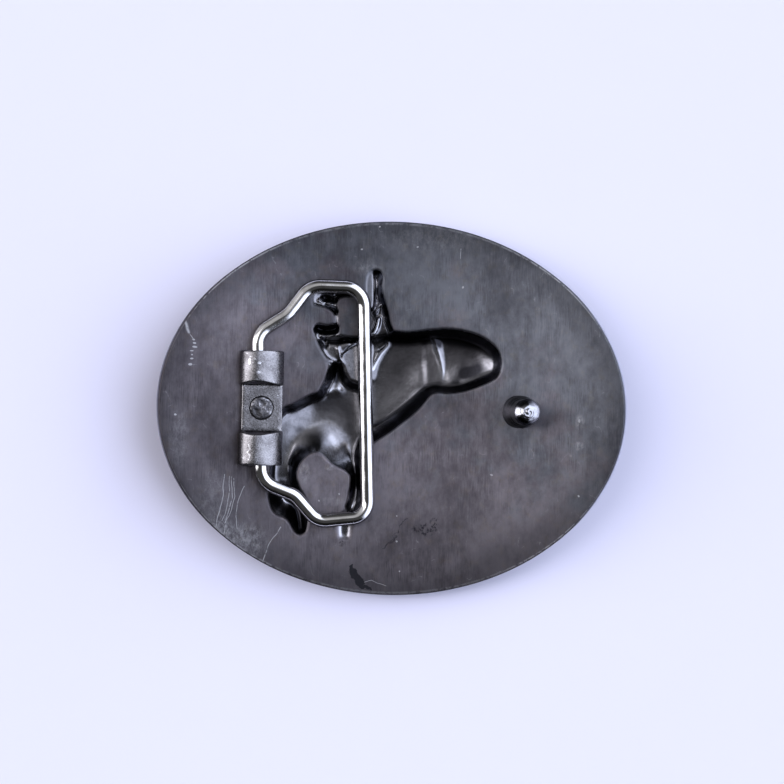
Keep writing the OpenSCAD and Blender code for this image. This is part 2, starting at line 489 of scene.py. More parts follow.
class Paint(Graph):
    """Builds one material's nodes, with coordinates in millimetres."""

    def __init__(self, name: str) -> None:
        """Starts a material with a principled shader and its output.

        Args:
            name: The material's name.
        """
        self.material = bpy.data.materials.new(name)
        self.material.use_nodes = True
        super().__init__(self.material.node_tree)
        self.shader = self.node("ShaderNodeBsdfPrincipled")
        output = self.node("ShaderNodeOutputMaterial")
        self.feed(output.inputs["Surface"], self.shader.outputs["BSDF"])
        self.place = self.scaled(self.node("ShaderNodeTexCoord").outputs["Object"], 1.0 / MM)
        self.marked = self.place

    def noise(self, kind: Noise) -> Socket:
        """Adds a noise over the piece.

        Args:
            kind: What it is like.

        Returns:
            The noise, about 0.5 on average.
        """
        moved = self.vector("MULTIPLY", self.vector("ADD", self.place, kind.shift), kind.stretch)
        made = self.node("ShaderNodeTexNoise")
        numbers = (("Scale", kind.scale), ("Detail", kind.detail), ("Roughness", kind.rough))
        for key, value in (("Vector", moved), *numbers):
            self.feed(made.inputs[key], value)
        return made.outputs[0]

    def patches(self, kind: Noise) -> Socket:
        """Adds the patches that a noise comes up in."""
        return self.band(self.noise(kind), *kind.levels)

    def span(self, value: Socket, low: float, high: float) -> Socket:
        """Spreads a value from 0..1 over another range.

        Args:
            value: The number.
            low: What 0 becomes.
            high: What 1 becomes.

        Returns:
            The number in the new range.
        """
        made = self.node("ShaderNodeMapRange")
        for key, number in (("Value", value), ("To Min", low), ("To Max", high)):
            self.feed(made.inputs[key], number)
        return made.outputs["Result"]

    def mixed(self, share: Socket, a: Socket | float, b: Socket | float) -> Socket:
        """Mixes two numbers.

        Args:
            share: How much of b there is, from 0 to 1.
            a: The number where share is 0.
            b: The number where share is 1.

        Returns:
            The mixed number.
        """
        made = self.node("ShaderNodeMix", data_type="FLOAT")
        for key, value in (("Factor", share), ("A", a), ("B", b)):
            self.feed(made.inputs[key], value)
        return made.outputs["Result"]

    def blend(self, share: Socket, a: Socket | Colour, b: Socket | Colour) -> Socket:
        """Mixes two colours.

        Args:
            share: How much of b there is, from 0 to 1.
            a: The colour where share is 0.
            b: The colour where share is 1.

        Returns:
            The mixed colour.
        """
        made = self.node("ShaderNodeMix", data_type="RGBA")
        self.feed(made.inputs["Factor"], share)
        for key, colour in (("A", a), ("B", b)):
            linked = isinstance(colour, bpy.types.NodeSocket)
            self.feed(made.inputs[key], colour if linked else (*colour, 1.0))
        return made.outputs["Result"]

    def attribute(self, name: str) -> Socket:
        """Reads a number that the mesh holds at each corner."""
        made = self.node("ShaderNodeAttribute", attribute_name=name)
        return made.outputs["Fac"]

    def shake(self, scale: float, reach: float) -> None:
        """Bends all marks that are drawn later.

        Args:
            scale: Bends to the millimetre.
            reach: How far they go to each side, about.
        """
        waves = self.node("ShaderNodeTexNoise")
        for key, value in (("Vector", self.place), ("Scale", scale)):
            self.feed(waves.inputs[key], value)
        middle = self.vector("SUBTRACT", waves.outputs["Color"], (0.5, 0.5, 0.5))
        bends = self.vector("MULTIPLY", middle, (4.0 * reach, 4.0 * reach, 0.0))
        self.marked = self.vector("ADD", self.place, bends)

    def line(self, start: Sequence[float], end: Sequence[float], width: float) -> Socket:
        """Draws a soft straight mark.

        Args:
            start: Where it starts, x and y.
            end: Where it ends, x and y.
            width: How wide it is.

        Returns:
            1 on the mark and 0 away from it.
        """
        dx, dy = end[0] - start[0], end[1] - start[1]
        length = dx * dx + dy * dy
        away = self.vector("SUBTRACT", self.marked, (start[0], start[1], 0.0))
        share = self.vector("DOT_PRODUCT", away, (dx / length, dy / length, 0.0))
        share = self.math("MINIMUM", self.math("MAXIMUM", share, 0.0), 1.0)
        gap = self.vector("SUBTRACT", away, self.scaled((dx, dy, 0.0), share))
        flat = self.vector("MULTIPLY", gap, (1.0, 1.0, 0.0))
        return self.band(self.vector("LENGTH", flat), width / 2.0, 0.0)

    def spot(self, x: float, y: float, wide: float, high: float, soft: float = 0.4) -> Socket:
        """Draws a soft oval mark.

        Args:
            x: Its middle along X.
            y: Its middle along Y.
            wide: Half its width.
            high: Half its height.
            soft: Share of it over which its edge fades.

        Returns:
            1 inside the mark and 0 outside.
        """
        away = self.vector("SUBTRACT", self.marked, (x, y, 0.0))
        oval = self.vector("MULTIPLY", away, (1.0 / wide, 1.0 / high, 0.0))
        return self.band(self.vector("LENGTH", oval), 1.0 + soft / 2.0, 1.0 - soft / 2.0)

    def trails(self, marks: Sequence[Scratch]) -> Socket:
        """Draws marks along their paths."""
        return self.any_of([self.line(a, b, m.width) for m in marks for a, b in zip(m.path, m.path[1:])])

    def spots(self, rows: Table, soft: float = 0.4) -> Socket:
        """Draws soft oval marks, a row of spot()'s numbers for each."""
        return self.any_of([self.spot(*row) if len(row) > 4 else self.spot(*row, soft) for row in rows])

    def any_of(self, marks: Sequence[Socket]) -> Socket:
        """Joins several marks.

        Args:
            marks: One or more marks.

        Returns:
            The strongest of them at each place.
        """
        total = marks[0]
        for mark in marks[1:]:
            total = self.math("MAXIMUM", total, mark)
        return total

    def bump(self, height: Socket, distance: float, before: Socket | None = None) -> Socket:
        """Adds relief to the shading normal.

        Args:
            height: The relief, from 0 to 1.
            distance: How deep it is, in millimetres.
            before: The shading normal that it is added to, if there is one.

        Returns:
            The new shading normal.
        """
        made = self.node("ShaderNodeBump")
        for key, value in (("Strength", 1.0), ("Distance", distance * MM), ("Height", height)):
            self.feed(made.inputs[key], value)
        if before is not None:
            self.feed(made.inputs["Normal"], before)
        return made.outputs["Normal"]

    def finish(
        self, colour: Socket, metallic: float, roughness: Socket | float, normal: Socket | None = None
    ) -> bpy.types.Material:
        """Feeds the shader.

        Args:
            colour: Base colour.
            metallic: How metallic the surface is, from 0 to 1.
            roughness: Roughness, from 0 to 1.
            normal: Shading normal, if there is relief.

        Returns:
            The finished material.
        """
        for key, value in (("Base Color", colour), ("Metallic", metallic), ("Roughness", roughness)):
            self.feed(self.shader.inputs[key], value)
        if normal is not None:
            self.feed(self.shader.inputs["Normal"], normal)
        return self.material

    def tint_edges(self, tint: Colour) -> None:
        """Tints what the surface reflects at a grazing angle."""
        self.shader.inputs["Specular Tint"].default_value = (*tint, 1.0)


@dataclass(frozen=True)
class Gunmetal:
    """The cast plate: dark, brushed lengthwise on its face and left smooth in the hollow."""

    dark: Colour = (0.105, 0.094, 0.104)
    light: Colour = (0.234, 0.215, 0.233)
    cool: Colour = (0.93, 1.05, 1.07)
    warm: Colour = (1.05, 1.01, 0.92)
    cooling: Colour = (0.006, 0.009, 0.0)
    hollow: Colour = (0.195, 0.193, 0.206)
    hollow_low: Colour = (0.155, 0.154, 0.164)
    # colours of the painted highlight and the painted shade in the hollow
    painted_highlight: Colour = (0.50, 0.50, 0.525)
    darkening: Colour = (0.018, 0.018, 0.021)
    edge_tint: Colour = (0.45, 0.45, 0.50)
    bright: Colour = (0.55, 0.55, 0.56)
    # colour of the painted highlight round the rim's ends
    rim_gleam: Colour = (0.78, 0.80, 0.90)
    stain_and_dark_rim: Colour = (0.022, 0.022, 0.026)
    brush: Noise = Noise(2.6, 4.0, 0.65, (1.0, 0.045, 0.3))
    fine_brush: Noise = Noise(9.0, 3.0, 0.6, (1.0, 0.05, 0.3), (7.0, 3.0, 0.0))
    combed: Noise = Noise(0.13, 4.0, 0.6, shift=(14.0, 33.0, 0.0), levels=(0.38, 0.60))
    cloud: Noise = Noise(0.055, 3.0, 0.5, (1.0, 0.8, 0.0), (31.0, 12.0, 0.0))
    mottle: Noise = Noise(0.5, 4.0, 0.65, (1.0, 0.6, 0.0), (3.0, 50.0, 0.0), (0.52, 0.66))
    hue: Noise = Noise(0.14, 5.0, 0.65, shift=(60.0, 5.0, 0.0), levels=(0.46, 0.74))
    warmth: Noise = Noise(0.5, 5.0, 0.7, shift=(9.0, 71.0, 0.0), levels=(0.50, 0.72))
    wrinkles: Noise = Noise(1.3, 4.0, 0.65, shift=(6.0, 6.0, 2.0), levels=(0.40, 0.66))
    grain: Noise = Noise(5.0, 4.0, 0.7)
    gaps: Noise = Noise(1.4, 3.0, 0.6, (1.0, 1.0, 0.0), (9.0, 9.0, 0.0), (0.30, 0.48))
    rubbing: Noise = Noise(1.1, 7.0, 0.80, (1.0, 0.55, 0.0), (17.0, 2.0, 0.0), (0.38, 0.68))
    hairs: Noise = Noise(0.22, 2.0, 0.4, (1.0, 0.6, 0.0), (40.0, 8.0, 0.0))
    rim_glint_breaks: Noise = Noise(0.9, 4.0, 0.7, shift=(1.0, 2.0, 3.0), levels=(0.36, 0.56))
    ragged: Noise = Noise(1.3, 5.0, 0.75, (1.0, 1.0, 0.0), (2.0, 21.0, 0.0), (0.46, 0.62))
    face_roughness: Pair = (0.50, 0.62)
    hollow_roughness: Pair = (0.15, 0.25)
    brush_depth: float = 0.022
    wrinkle_depth: float = 0.016
    grain_depth: float = 0.006
    brush_strengths: Pair = (0.8, 1.1)
    # how much of the face's tone comes from the cloud, the mottle and the streaks
    tone_mix: tuple[float, float, float] = (0.95, 0.75, 0.55)
    tone_levels: Pair = (0.55, 1.15)
    dimmed_share: float = 0.60
    lighter_soft: float = 1.8
    # where the darker rim comes up, 1 being the edge, and how much the cloud moves that
    rim_levels: Pair = (0.84, 0.99)
    rim_shift: float = 0.35
    rim_dark: float = 0.42
    bared_and_glint_share: float = 0.6
    rub_soft: float = 0.9
    hair_width: float = 0.005
    hair_share: float = 0.35
    # how the painted highlight of glints on the rim comes up from the face and ends at the edge
    rim_glints_in: Pair = (0.978, 0.987)
    rim_glints_out: Pair = (0.999, 0.994)
    # distances along X between which they become more, and their strengths before and after
    rim_glints_along: Pair = (16.0, 36.0)
    rim_glints_share: Pair = (0.3, 1.4)
    gleam_levels: Pair = (0.986, 0.993)
    gleam_right: Pair = (33.0, 39.0)
    gleam_left: Pair = (-36.0, -41.0)
    gleam_share: float = 0.75
    gleam_left_share: float = 0.35
    # bends to the millimetre, and how far they go to each side
    scratch_bends: Pair = (0.22, 0.30)
    stain_bends: Pair = (0.8, 0.5)
    furrow_share: Pair = (0.5, 0.9)
    burn_levels: Pair = (0.10, 0.40)
    burn_share: float = 0.97
    # half length and half width of the oval by which places near the rim are told
    oval: Pair = (42.6, 34.1)
    # columns: middle x and y, half width, half height of the lighter areas
    lighter_areas: Table = (
        (27.0, 12.0, 21.0, 16.0),
        (9.0, -10.0, 17.0, 11.0),
        (22.0, -10.0, 14.0, 11.0),
        (-24.0, 14.0, 10.0, 10.0),
        (-12.0, -14.0, 7.0, 8.0),
    )
    scratches: tuple[Scratch, ...] = (
        Scratch(((-30.0, -12.5), (-30.1, -16.7), (-30.7, -19.3), (-31.6, -22.6)), 0.24),
        Scratch(((-29.0, -13.0), (-29.0, -15.9), (-29.5, -18.5), (-30.3, -21.1)), 0.18),
        Scratch(((-28.5, -13.2), (-28.6, -17.0), (-29.5, -20.0), (-29.9, -23.6)), 0.22),
        Scratch(((-28.1, -13.4), (-28.2, -16.6), (-29.1, -20.0), (-30.0, -21.8)), 0.18),
        Scratch(((-26.4, -14.6), (-27.7, -17.4), (-28.0, -20.3), (-27.5, -22.5)), 0.20),
        Scratch(((-19.7, -21.9), (-21.6, -25.3), (-22.9, -28.5)), 0.27),
        Scratch(((-37.7, 15.1), (-37.3, 14.0), (-36.8, 12.9)), 0.80),
        Scratch(((-36.8, 12.9), (-36.1, 11.9)), 0.24),
        Scratch(((-4.3, -31.8), (-2.9, -31.4), (-1.8, -32.0), (-0.3, -32.3)), 0.16),
        Scratch(((12.0, 29.4), (12.0, 27.6)), 0.18),
    )
    furrows: tuple[Scratch, ...] = (
        Scratch(((3.1, -20.1), (0.9, -23.3), (-1.0, -25.9)), 0.30),
        Scratch(((1.4, -23.4), (-0.2, -25.1), (-1.0, -25.9)), 0.60),
    )
    # columns: middle x and y, half width, half height
    specks: Table = (
        (-36.0, 11.7, 0.24, 0.18),
        (-35.9, 11.0, 0.34, 0.19),
        (-35.8, 10.3, 0.46, 0.18),
        (-36.3, 9.5, 0.36, 0.11),
        (-36.2, 8.8, 0.18, 0.13),
        (-36.2, 8.1, 0.30, 0.16),
        (-36.4, 7.1, 0.34, 0.20),
        (-38.8, -1.8, 0.18, 0.16),
        (33.9, -1.4, 0.22, 0.34),
        (34.2, -15.1, 0.18, 0.18),
        (12.6, 22.4, 0.16, 0.20),
        (-5.9, 28.9, 0.20, 0.14),
        (3.9, 29.6, 0.20, 0.14),
        (-3.1, 33.0, 0.16, 0.14),
        (18.4, -11.9, 0.24, 0.18),
        (-12.9, -17.3, 0.14, 0.14),
        (1.3, -24.2, 0.20, 0.16),
        (2.2, -29.7, 0.13, 0.13),
        (1.4, -19.6, 0.12, 0.12),
        (-9.2, -15.9, 0.12, 0.14),
    )
    burns: tuple[Scratch, ...] = (
        Scratch(((-6.7, -29.3), (-6.3, -30.2)), 1.5),
        Scratch(((-6.2, -30.2), (-5.6, -31.2), (-4.9, -32.0)), 2.2),
        Scratch(((-5.0, -32.7), (-3.2, -33.0)), 1.0),
    )
    # columns: middle x and y, half width, half height, softness
    stains: Table = (
        (6.6, -22.0, 2.6, 0.9, 1.0),
        (8.2, -20.9, 0.8, 0.9, 1.0),
        (-8.5, -24.6, 0.9, 0.7, 1.4),
    )
    # columns: middle x and y, half width, half height, strength
    rubs: Table = (
        (-27.0, -24.6, 4.6, 3.0, 0.62),
        (-30.6, -22.6, 2.0, 2.6, 0.75),
        (-31.6, -18.0, 3.0, 6.0, 0.25),
        (-15.6, -12.0, 0.9, 1.6, 0.60),
        (-10.9, -11.0, 1.0, 0.5, 0.60),
        (-10.4, -17.2, 2.4, 0.7, 0.40),
        (-4.8, 25.4, 2.2, 1.6, 0.35),
        (-38.2, -6.0, 1.6, 5.0, 0.25),
        (33.8, -6.1, 0.8, 0.8, 0.90),
        (34.0, -1.6, 0.8, 1.3, 0.60),
        (6.0, 31.0, 9.0, 2.2, 0.18),
    )

    def _streaks(self, paint: Paint, brush: Socket, fine_brush: Socket) -> Socket:
        """Lays the brushing more strongly in some areas.

        Args:
            paint: The material.
            brush: The broad strokes.
            fine_brush: The fine strokes.

        Returns:
            The streaks, about 0 on average.
        """
        broad, fine = self.brush_strengths
        streaks = paint.math("MULTIPLY_ADD", fine_brush, fine, paint.times(brush, broad))
        middle = (broad + fine) / 2.0
        return paint.times(paint.math("SUBTRACT", streaks, middle), paint.patches(self.combed))

    def _face(self, paint: Paint, cloud: Socket, mottle: Socket, streaks: Socket) -> Socket:
        """Colours the face, cooler and warmer in patches.

        Args:
            paint: The material.
            cloud: The broadest changes of tone.
            mottle: The changes of tone over a few millimetres.
            streaks: The brushing.

        Returns:
            The face's colour before it is tarnished.
        """
        clouded, mottled, streaked = self.tone_mix
        tone = paint.math("MULTIPLY_ADD", cloud, clouded, paint.times(mottle, mottled))
        tone = paint.math("MULTIPLY_ADD", streaks, streaked, tone)
        colour = paint.blend(paint.band(tone, *self.tone_levels), self.dark, self.light)
        corner = paint.vector("DOT_PRODUCT", paint.place, self.cooling)
        cooler = paint.band(paint.math("ADD", corner, paint.noise(self.hue)), *self.hue.levels)
        colour = paint.blend(cooler, colour, paint.vector("MULTIPLY", colour, self.cool))
        return paint.blend(paint.patches(self.warmth), colour, paint.vector("MULTIPLY", colour, self.warm))

    def _dimmed(self, paint: Paint, colour: Socket, cloud: Socket, rim: Socket) -> Socket:
        """Darkens the face outside its lighter areas and towards the rim.

        Args:
            paint: The material.
            colour: The face's colour.
            cloud: The broadest changes of tone.
            rim: How far out each place is, 1 at the rim.

        Returns:
            The darker colour.
        """
        less_dimmed = paint.spots(self.lighter_areas, self.lighter_soft)
        colour = paint.scaled(colour, paint.span(less_dimmed, self.dimmed_share, 1.0))
        uneven = paint.math("MULTIPLY_ADD", paint.math("SUBTRACT", cloud, 0.5), self.rim_shift, rim)
        darker = paint.times(paint.band(uneven, *self.rim_levels), self.rim_dark)
        return paint.blend(darker, colour, self.stain_and_dark_rim)

    def _inside(self, paint: Paint, wrinkles: Socket) -> Socket:
        """Colours the hollow, with its painted highlights and painted shade.

        Args:
            paint: The material.
            wrinkles: The casting's wrinkles.

        Returns:
            The hollow's colour.
        """
        # painted highlights and painted shade laid into the hollow's colour
        painted_light = paint.attribute("painted_light")
        inside = paint.blend(paint.band(wrinkles, *self.wrinkles.levels), self.hollow, self.hollow_low)
        inside = paint.blend(paint.band(painted_light, 0.0, 1.0), inside, self.painted_highlight)
        return paint.blend(paint.band(painted_light, 0.0, -1.0), inside, self.darkening)

    def _bared_and_glints(self, paint: Paint, mottle: Socket, rim: Socket, along: Socket) -> Socket:
        """Draws the bright marks: bare metal in scratches, specks, rubbed areas and hairs, and painted
        highlight glints on the rim.

        Args:
            paint: The material.
            mottle: The changes of tone over a few millimetres.
            rim: How far out each place is, 1 at the rim.
            along: Each place along X.

        Returns:
            How bright each place is.
        """
        paint.shake(*self.scratch_bends)
        scratched = paint.times(paint.trails(self.scratches), paint.patches(self.gaps))
        worn = paint.any_of([paint.times(paint.spot(*row[:4], self.rub_soft), row[4]) for row in self.rubs])
        off = paint.math("ABSOLUTE", paint.math("SUBTRACT", paint.noise(self.hairs), 0.5))
        hairs = paint.times(paint.band(off, self.hair_width, 0.0), paint.band(mottle, *self.mottle.levels))
        # painted highlight: broken glints along the rim, stronger towards the two ends
        near_rim = paint.times(paint.band(rim, *self.rim_glints_in), paint.band(rim, *self.rim_glints_out))
        ends = paint.band(paint.math("ABSOLUTE", along), *self.rim_glints_along)
        return paint.any_of([
            scratched,
            paint.spots(self.specks),
            paint.times(worn, paint.patches(self.rubbing)),
            paint.times(hairs, self.hair_share),
            paint.times(near_rim, paint.span(ends, *self.rim_glints_share), paint.patches(self.rim_glint_breaks)),
        ])

    def _gleam(self, paint: Paint, rim: Socket, along: Socket) -> Socket:
        """Draws a painted highlight round the rim's two ends, stronger at the right.

        Args:
            paint: The material.
            rim: How far out each place is, 1 at the rim.
            along: Each place along X.

        Returns:
            How light each place is.
        """
        left = paint.times(paint.band(along, *self.gleam_left), self.gleam_left_share)
        ends = paint.any_of([paint.band(along, *self.gleam_right), left])
        return paint.times(paint.band(rim, *self.gleam_levels), ends, self.gleam_share)

    def _stained(self, paint: Paint) -> Socket:
        """Draws the dark stains, furrows and burns.

        Args:
            paint: The material.

        Returns:
            How dark each place is.
        """
        paint.shake(*self.stain_bends)
        ragged = paint.patches(self.ragged)
        return paint.any_of([
            paint.times(paint.spots(self.stains), ragged),
            paint.times(paint.trails(self.furrows), paint.span(ragged, *self.furrow_share)),
            paint.times(paint.band(paint.trails(self.burns), *self.burn_levels), self.burn_share),
        ])

    def build(self) -> bpy.types.Material:
        """Makes the material.

        Returns:
            The material, which reads the mesh's numbers hollow, back and painted_light.
        """
        paint = Paint("gunmetal_cast")
        hollow = paint.attribute("hollow")
        face = paint.math("SUBTRACT", 1.0, hollow)
        back = paint.times(face, paint.attribute("back"))
        brush, fine_brush = paint.noise(self.brush), paint.noise(self.fine_brush)
        cloud, mottle = paint.noise(self.cloud), paint.noise(self.mottle)
        grain, wrinkles = paint.noise(self.grain), paint.noise(self.wrinkles)
        shares = (1.0 / self.oval[0], 1.0 / self.oval[1], 0.0)
        rim = paint.vector("LENGTH", paint.vector("MULTIPLY", paint.place, shares))
        along = paint.vector("DOT_PRODUCT", paint.place, (1.0, 0.0, 0.0))
        colour = self._face(paint, cloud, mottle, self._streaks(paint, brush, fine_brush))
        colour = self._dimmed(paint, colour, cloud, rim)
        colour = paint.blend(hollow, colour, self._inside(paint, wrinkles))
        bared_and_glints = paint.times(self._bared_and_glints(paint, mottle, rim, along), back, self.bared_and_glint_share)
        colour = paint.blend(bared_and_glints, colour, self.bright)
        colour = paint.blend(self._gleam(paint, rim, along), colour, self.rim_gleam)
        colour = paint.blend(paint.times(self._stained(paint), back), colour, self.stain_and_dark_rim)
        roughness = paint.mixed(
            hollow, paint.span(brush, *self.face_roughness), paint.span(grain, *self.hollow_roughness)
        )
        strokes = paint.math("ADD", brush, paint.times(fine_brush, 0.5))
        normal = paint.bump(paint.times(strokes, face), self.brush_depth)
        normal = paint.bump(paint.times(wrinkles, hollow), self.wrinkle_depth, normal)
        normal = paint.bump(grain, self.grain_depth, normal)
        paint.tint_edges(self.edge_tint)
        return paint.finish(colour, 1.0, roughness, normal)


@dataclass(frozen=True)
class BrightNickel:
    """The loop's plated wire, polished, with faint drawing lines."""

    colour: Colour = (0.66, 0.65, 0.635)
    dull: Colour = (0.50, 0.49, 0.47)
    edge_tint: Colour = (0.25, 0.25, 0.27)
    haze: Noise = Noise(0.5, 4.0, 0.6, levels=(0.45, 0.75))
    pits: Noise = Noise(3.2, 4.0, 0.7, shift=(5.0, 8.0, 1.0))
    ripple: Noise = Noise(0.28, 1.0, 0.4, shift=(2.0, 7.0, 4.0))
    pit_depth: float = 0.006
    ripple_depth: float = 0.06
    roughness: Pair = (0.03, 0.11)

    def build(self) -> bpy.types.Material:
        """Makes the material.

        Returns:
            The material.
        """
        paint = Paint("bright_nickel")
        pits = paint.noise(self.pits)
        colour = paint.blend(paint.patches(self.haze), self.colour, self.dull)
        normal = paint.bump(pits, self.pit_depth, paint.bump(paint.noise(self.ripple), self.ripple_depth))
        paint.tint_edges(self.edge_tint)
        return paint.finish(colour, 1.0, paint.span(pits, *self.roughness), normal)


@dataclass(frozen=True)
class GrainyZinc:
    """The bracket's dull cast metal, with a coarse grain and a few nicks."""

    light: Colour = (0.295, 0.288, 0.294)
    dark: Colour = (0.135, 0.129, 0.131)
    fleck: Colour = (0.60, 0.60, 0.62)
    edge_tint: Colour = (0.4, 0.4, 0.42)
    grain: Noise = Noise(3.4, 5.0, 0.7)
    cloud: Noise = Noise(0.5, 3.0, 0.5, shift=(4.0, 4.0, 4.0))
    flecks: Noise = Noise(2.3, 3.0, 0.6, shift=(8.0, 1.0, 6.0), levels=(0.64, 0.72))
    tone_share: float = 0.55
    tone_levels: Pair = (0.36, 0.74)
    roughness: Pair = (0.20, 0.36)
    grain_depth: float = 0.042
    # columns: middle x and y, half width, half height
    nicks: Table = (
        (-23.9, 7.7, 0.34, 0.26),
        (-24.0, 6.0, 0.34, 0.26),
        (-24.4, 4.7, 0.36, 0.16),
        (-24.7, 8.4, 0.20, 0.20),
        (-25.7, 7.9, 0.24, 0.60),
    )
    scratches: tuple[Scratch, ...] = (
        Scratch(((-25.6, -7.0), (-25.2, -7.8), (-25.8, -8.4), (-25.2, -9.0), (-25.5, -9.8)), 0.24),
    )

    def build(self) -> bpy.types.Material:
        """Makes the material.

        Returns:
            The material.
        """
        paint = Paint("grainy_zinc")
        grain = paint.noise(self.grain)
        tone = paint.times(paint.math("ADD", grain, paint.noise(self.cloud)), self.tone_share)
        colour = paint.blend(paint.band(tone, *self.tone_levels), self.dark, self.light)
        bright = [paint.patches(self.flecks), paint.spots(self.nicks), paint.trails(self.scratches)]
        colour = paint.blend(paint.any_of(bright), colour, self.fleck)
        paint.tint_edges(self.edge_tint)
        normal = paint.bump(grain, self.grain_depth)
        return paint.finish(colour, 1.0, paint.span(grain, *self.roughness), normal)


@dataclass(frozen=True)
class PeenedMetal:
    """The rivet's beaten head, darker in its dents."""

    light: Colour = (0.34, 0.335, 0.35)
    dark: Colour = (0.09, 0.088, 0.092)
    darkening: Colour = (0.03, 0.029, 0.031)
    dents: Noise = Noise(1.6, 4.0, 0.65, levels=(0.42, 0.60))
    grain: Noise = Noise(5.0, 4.0, 0.7)
    roughness: Pair = (0.28, 0.45)
    darkened_share: float = 0.8
    dent_depth: float = 0.16
    grain_depth: float = 0.03
    # columns: middle x and y, half width, half height, softness
    darkened: Table = (
        (-24.6, -1.1, 1.3, 1.0, 1.2),
        (-23.4, -1.9, 1.3, 0.6, 1.2),
        (-23.9, 0.9, 0.8, 0.4, 1.4),
    )

    def build(self) -> bpy.types.Material:
        """Makes the material.

        Returns:
            The material.
        """
        paint = Paint("peened_metal")
        dents, grain = paint.noise(self.dents), paint.noise(self.grain)
        colour = paint.blend(paint.band(dents, *self.dents.levels), self.dark, self.light)
        darkened = paint.times(paint.spots(self.darkened), self.darkened_share)
        colour = paint.blend(darkened, colour, self.darkening)
        normal = paint.bump(grain, self.grain_depth, paint.bump(dents, self.dent_depth))
        return paint.finish(colour, 1.0, paint.span(grain, *self.roughness), normal)


@dataclass(frozen=True)
class BeatenBright:
    """The stud: bright on its beaten top, duller down its shank."""

    bright: Colour = (0.36, 0.36, 0.38)
    dull: Colour = (0.34, 0.335, 0.355)
    dull_low: Colour = (0.22, 0.215, 0.235)
    # colour of the painted shade down the shank's sides
    darkening: Colour = (0.020, 0.020, 0.023)
    grain: Noise = Noise(3.0, 4.0, 0.65, levels=(0.35, 0.7))
    shank_roughness: float = 0.36
    top_roughness: Pair = (0.12, 0.26)
    grain_depth: float = 0.035

    def build(self) -> bpy.types.Material:
        """Makes the material.

        Returns:
            The material, which reads the mesh's numbers top and darkening, the painted shade.
        """
        paint = Paint("beaten_bright")
        top, grain = paint.attribute("top"), paint.noise(self.grain)
        dull = paint.blend(paint.band(grain, *self.grain.levels), self.dull, self.dull_low)
        colour = paint.blend(top, dull, self.bright)
        # painted shade from the mesh's numbers
        colour = paint.blend(paint.attribute("darkening"), colour, self.darkening)
        roughness = paint.mixed(top, self.shank_roughness, paint.span(grain, *self.top_roughness))
        return paint.finish(colour, 1.0, roughness, paint.bump(grain, self.grain_depth))


@dataclass(frozen=True)
class PaleSheet:
    """The plain pale floor."""

    colour: Colour = (0.80, 0.79, 0.93)
    paler: Colour = (0.81, 0.80, 0.94)
    fibre: Noise = Noise(0.08)
    roughness: float = 0.85
    shine: float = 0.15

    def build(self) -> bpy.types.Material:
        """Makes the material.

        Returns:
            The material.
        """
        paint = Paint("pale_sheet")
        colour = paint.blend(paint.noise(self.fibre), self.colour, self.paler)
        paint.feed(paint.shader.inputs["Specular IOR Level"], self.shine)
        return paint.finish(colour, 0.0, self.roughness)


# The plate


@dataclass(frozen=True)
class Hollow:
    """A closed hollow sunk into the plate's back, with the width of its wall."""

    outline: Table
    wall: float
    depth: float


@dataclass(frozen=True)
class Shelf:
    """A closed patch that raises a hollow's floor to a plane, softly at its edge.

    The plane goes through a place, x, y and depth, and gains depth by its slopes along X and Y.
    """

    outline: Table
    soft: float
    through: tuple[float, float, float]
    slope: Pair = (0.0, 0.0)


@dataclass(frozen=True)
class Crease:
    """A soft groove or ridge along a path, raised where rise is above 0."""

    path: Table
    width: float
    rise: float


@dataclass(frozen=True)
class PaintedLightStroke:
    """A soft stroke of painted highlight in the hollow where painted_light is above 0, and of painted shade
    where it is below 0.
    """

    path: Table
    width: float
    painted_light: float


# columns: x, y along the edge of the horse's hollow, from the saddle round by the rump
HORSE_EDGE: Table = (
    (-3.0, 13.6), (0.1, 14.1), (2.5, 14.0), (5.0, 14.3), (8.0, 14.7), (11.0, 14.8),
    (14.0, 14.3), (16.5, 13.4), (18.5, 12.0), (19.6, 10.5), (19.95, 8.5), (19.5, 6.6),
    (18.5, 5.5), (16.0, 4.3), (13.0, 3.3), (10.0, 2.9), (8.2, 3.0), (7.0, 2.4), (6.0, 1.0),
    (5.0, -0.2), (3.5, -1.6), (1.5, -3.2), (0.0, -4.4), (-1.5, -5.4), (-3.0, -6.4),
    (-4.5, -7.7), (-5.4, -9.2), (-5.5, -11.0), (-5.4, -13.5), (-5.2, -16.0), (-5.4, -18.2),
    (-6.4, -19.6), (-7.6, -19.4), (-8.2, -18.3), (-7.9, -17.0), (-7.6, -15.5), (-7.35, -14.0),
    (-7.4, -12.6), (-8.0, -11.8), (-9.0, -11.3), (-10.5, -10.7), (-11.5, -9.9), (-12.5, -9.0),
    (-13.5, -8.5), (-14.7, -8.8), (-15.8, -9.7), (-16.7, -11.0), (-17.0, -12.4),
    (-16.75, -13.6), (-16.2, -15.0), (-15.3, -16.5), (-14.6, -18.2), (-14.5, -19.9),
    (-14.7, -21.6), (-15.0, -22.8), (-15.9, -23.5), (-16.8, -23.4), (-17.5, -22.8),
    (-18.0, -21.9), (-18.6, -20.9), (-19.4, -20.4), (-20.4, -20.1), (-21.3, -19.4),
    (-21.9, -18.2), (-22.2, -16.4), (-22.1, -14.0), (-21.9, -11.0), (-21.9, -7.0),
    (-21.4, -3.0), (-20.0, -0.4), (-18.0, 0.5), (-16.5, 1.4), (-15.0, 2.2), (-13.6, 2.7),
    (-12.9, 3.8), (-12.3, 5.2), (-11.8, 6.8), (-10.9, 8.1), (-9.9, 8.7), (-8.6, 10.4), (-6.6, 12.0),
)

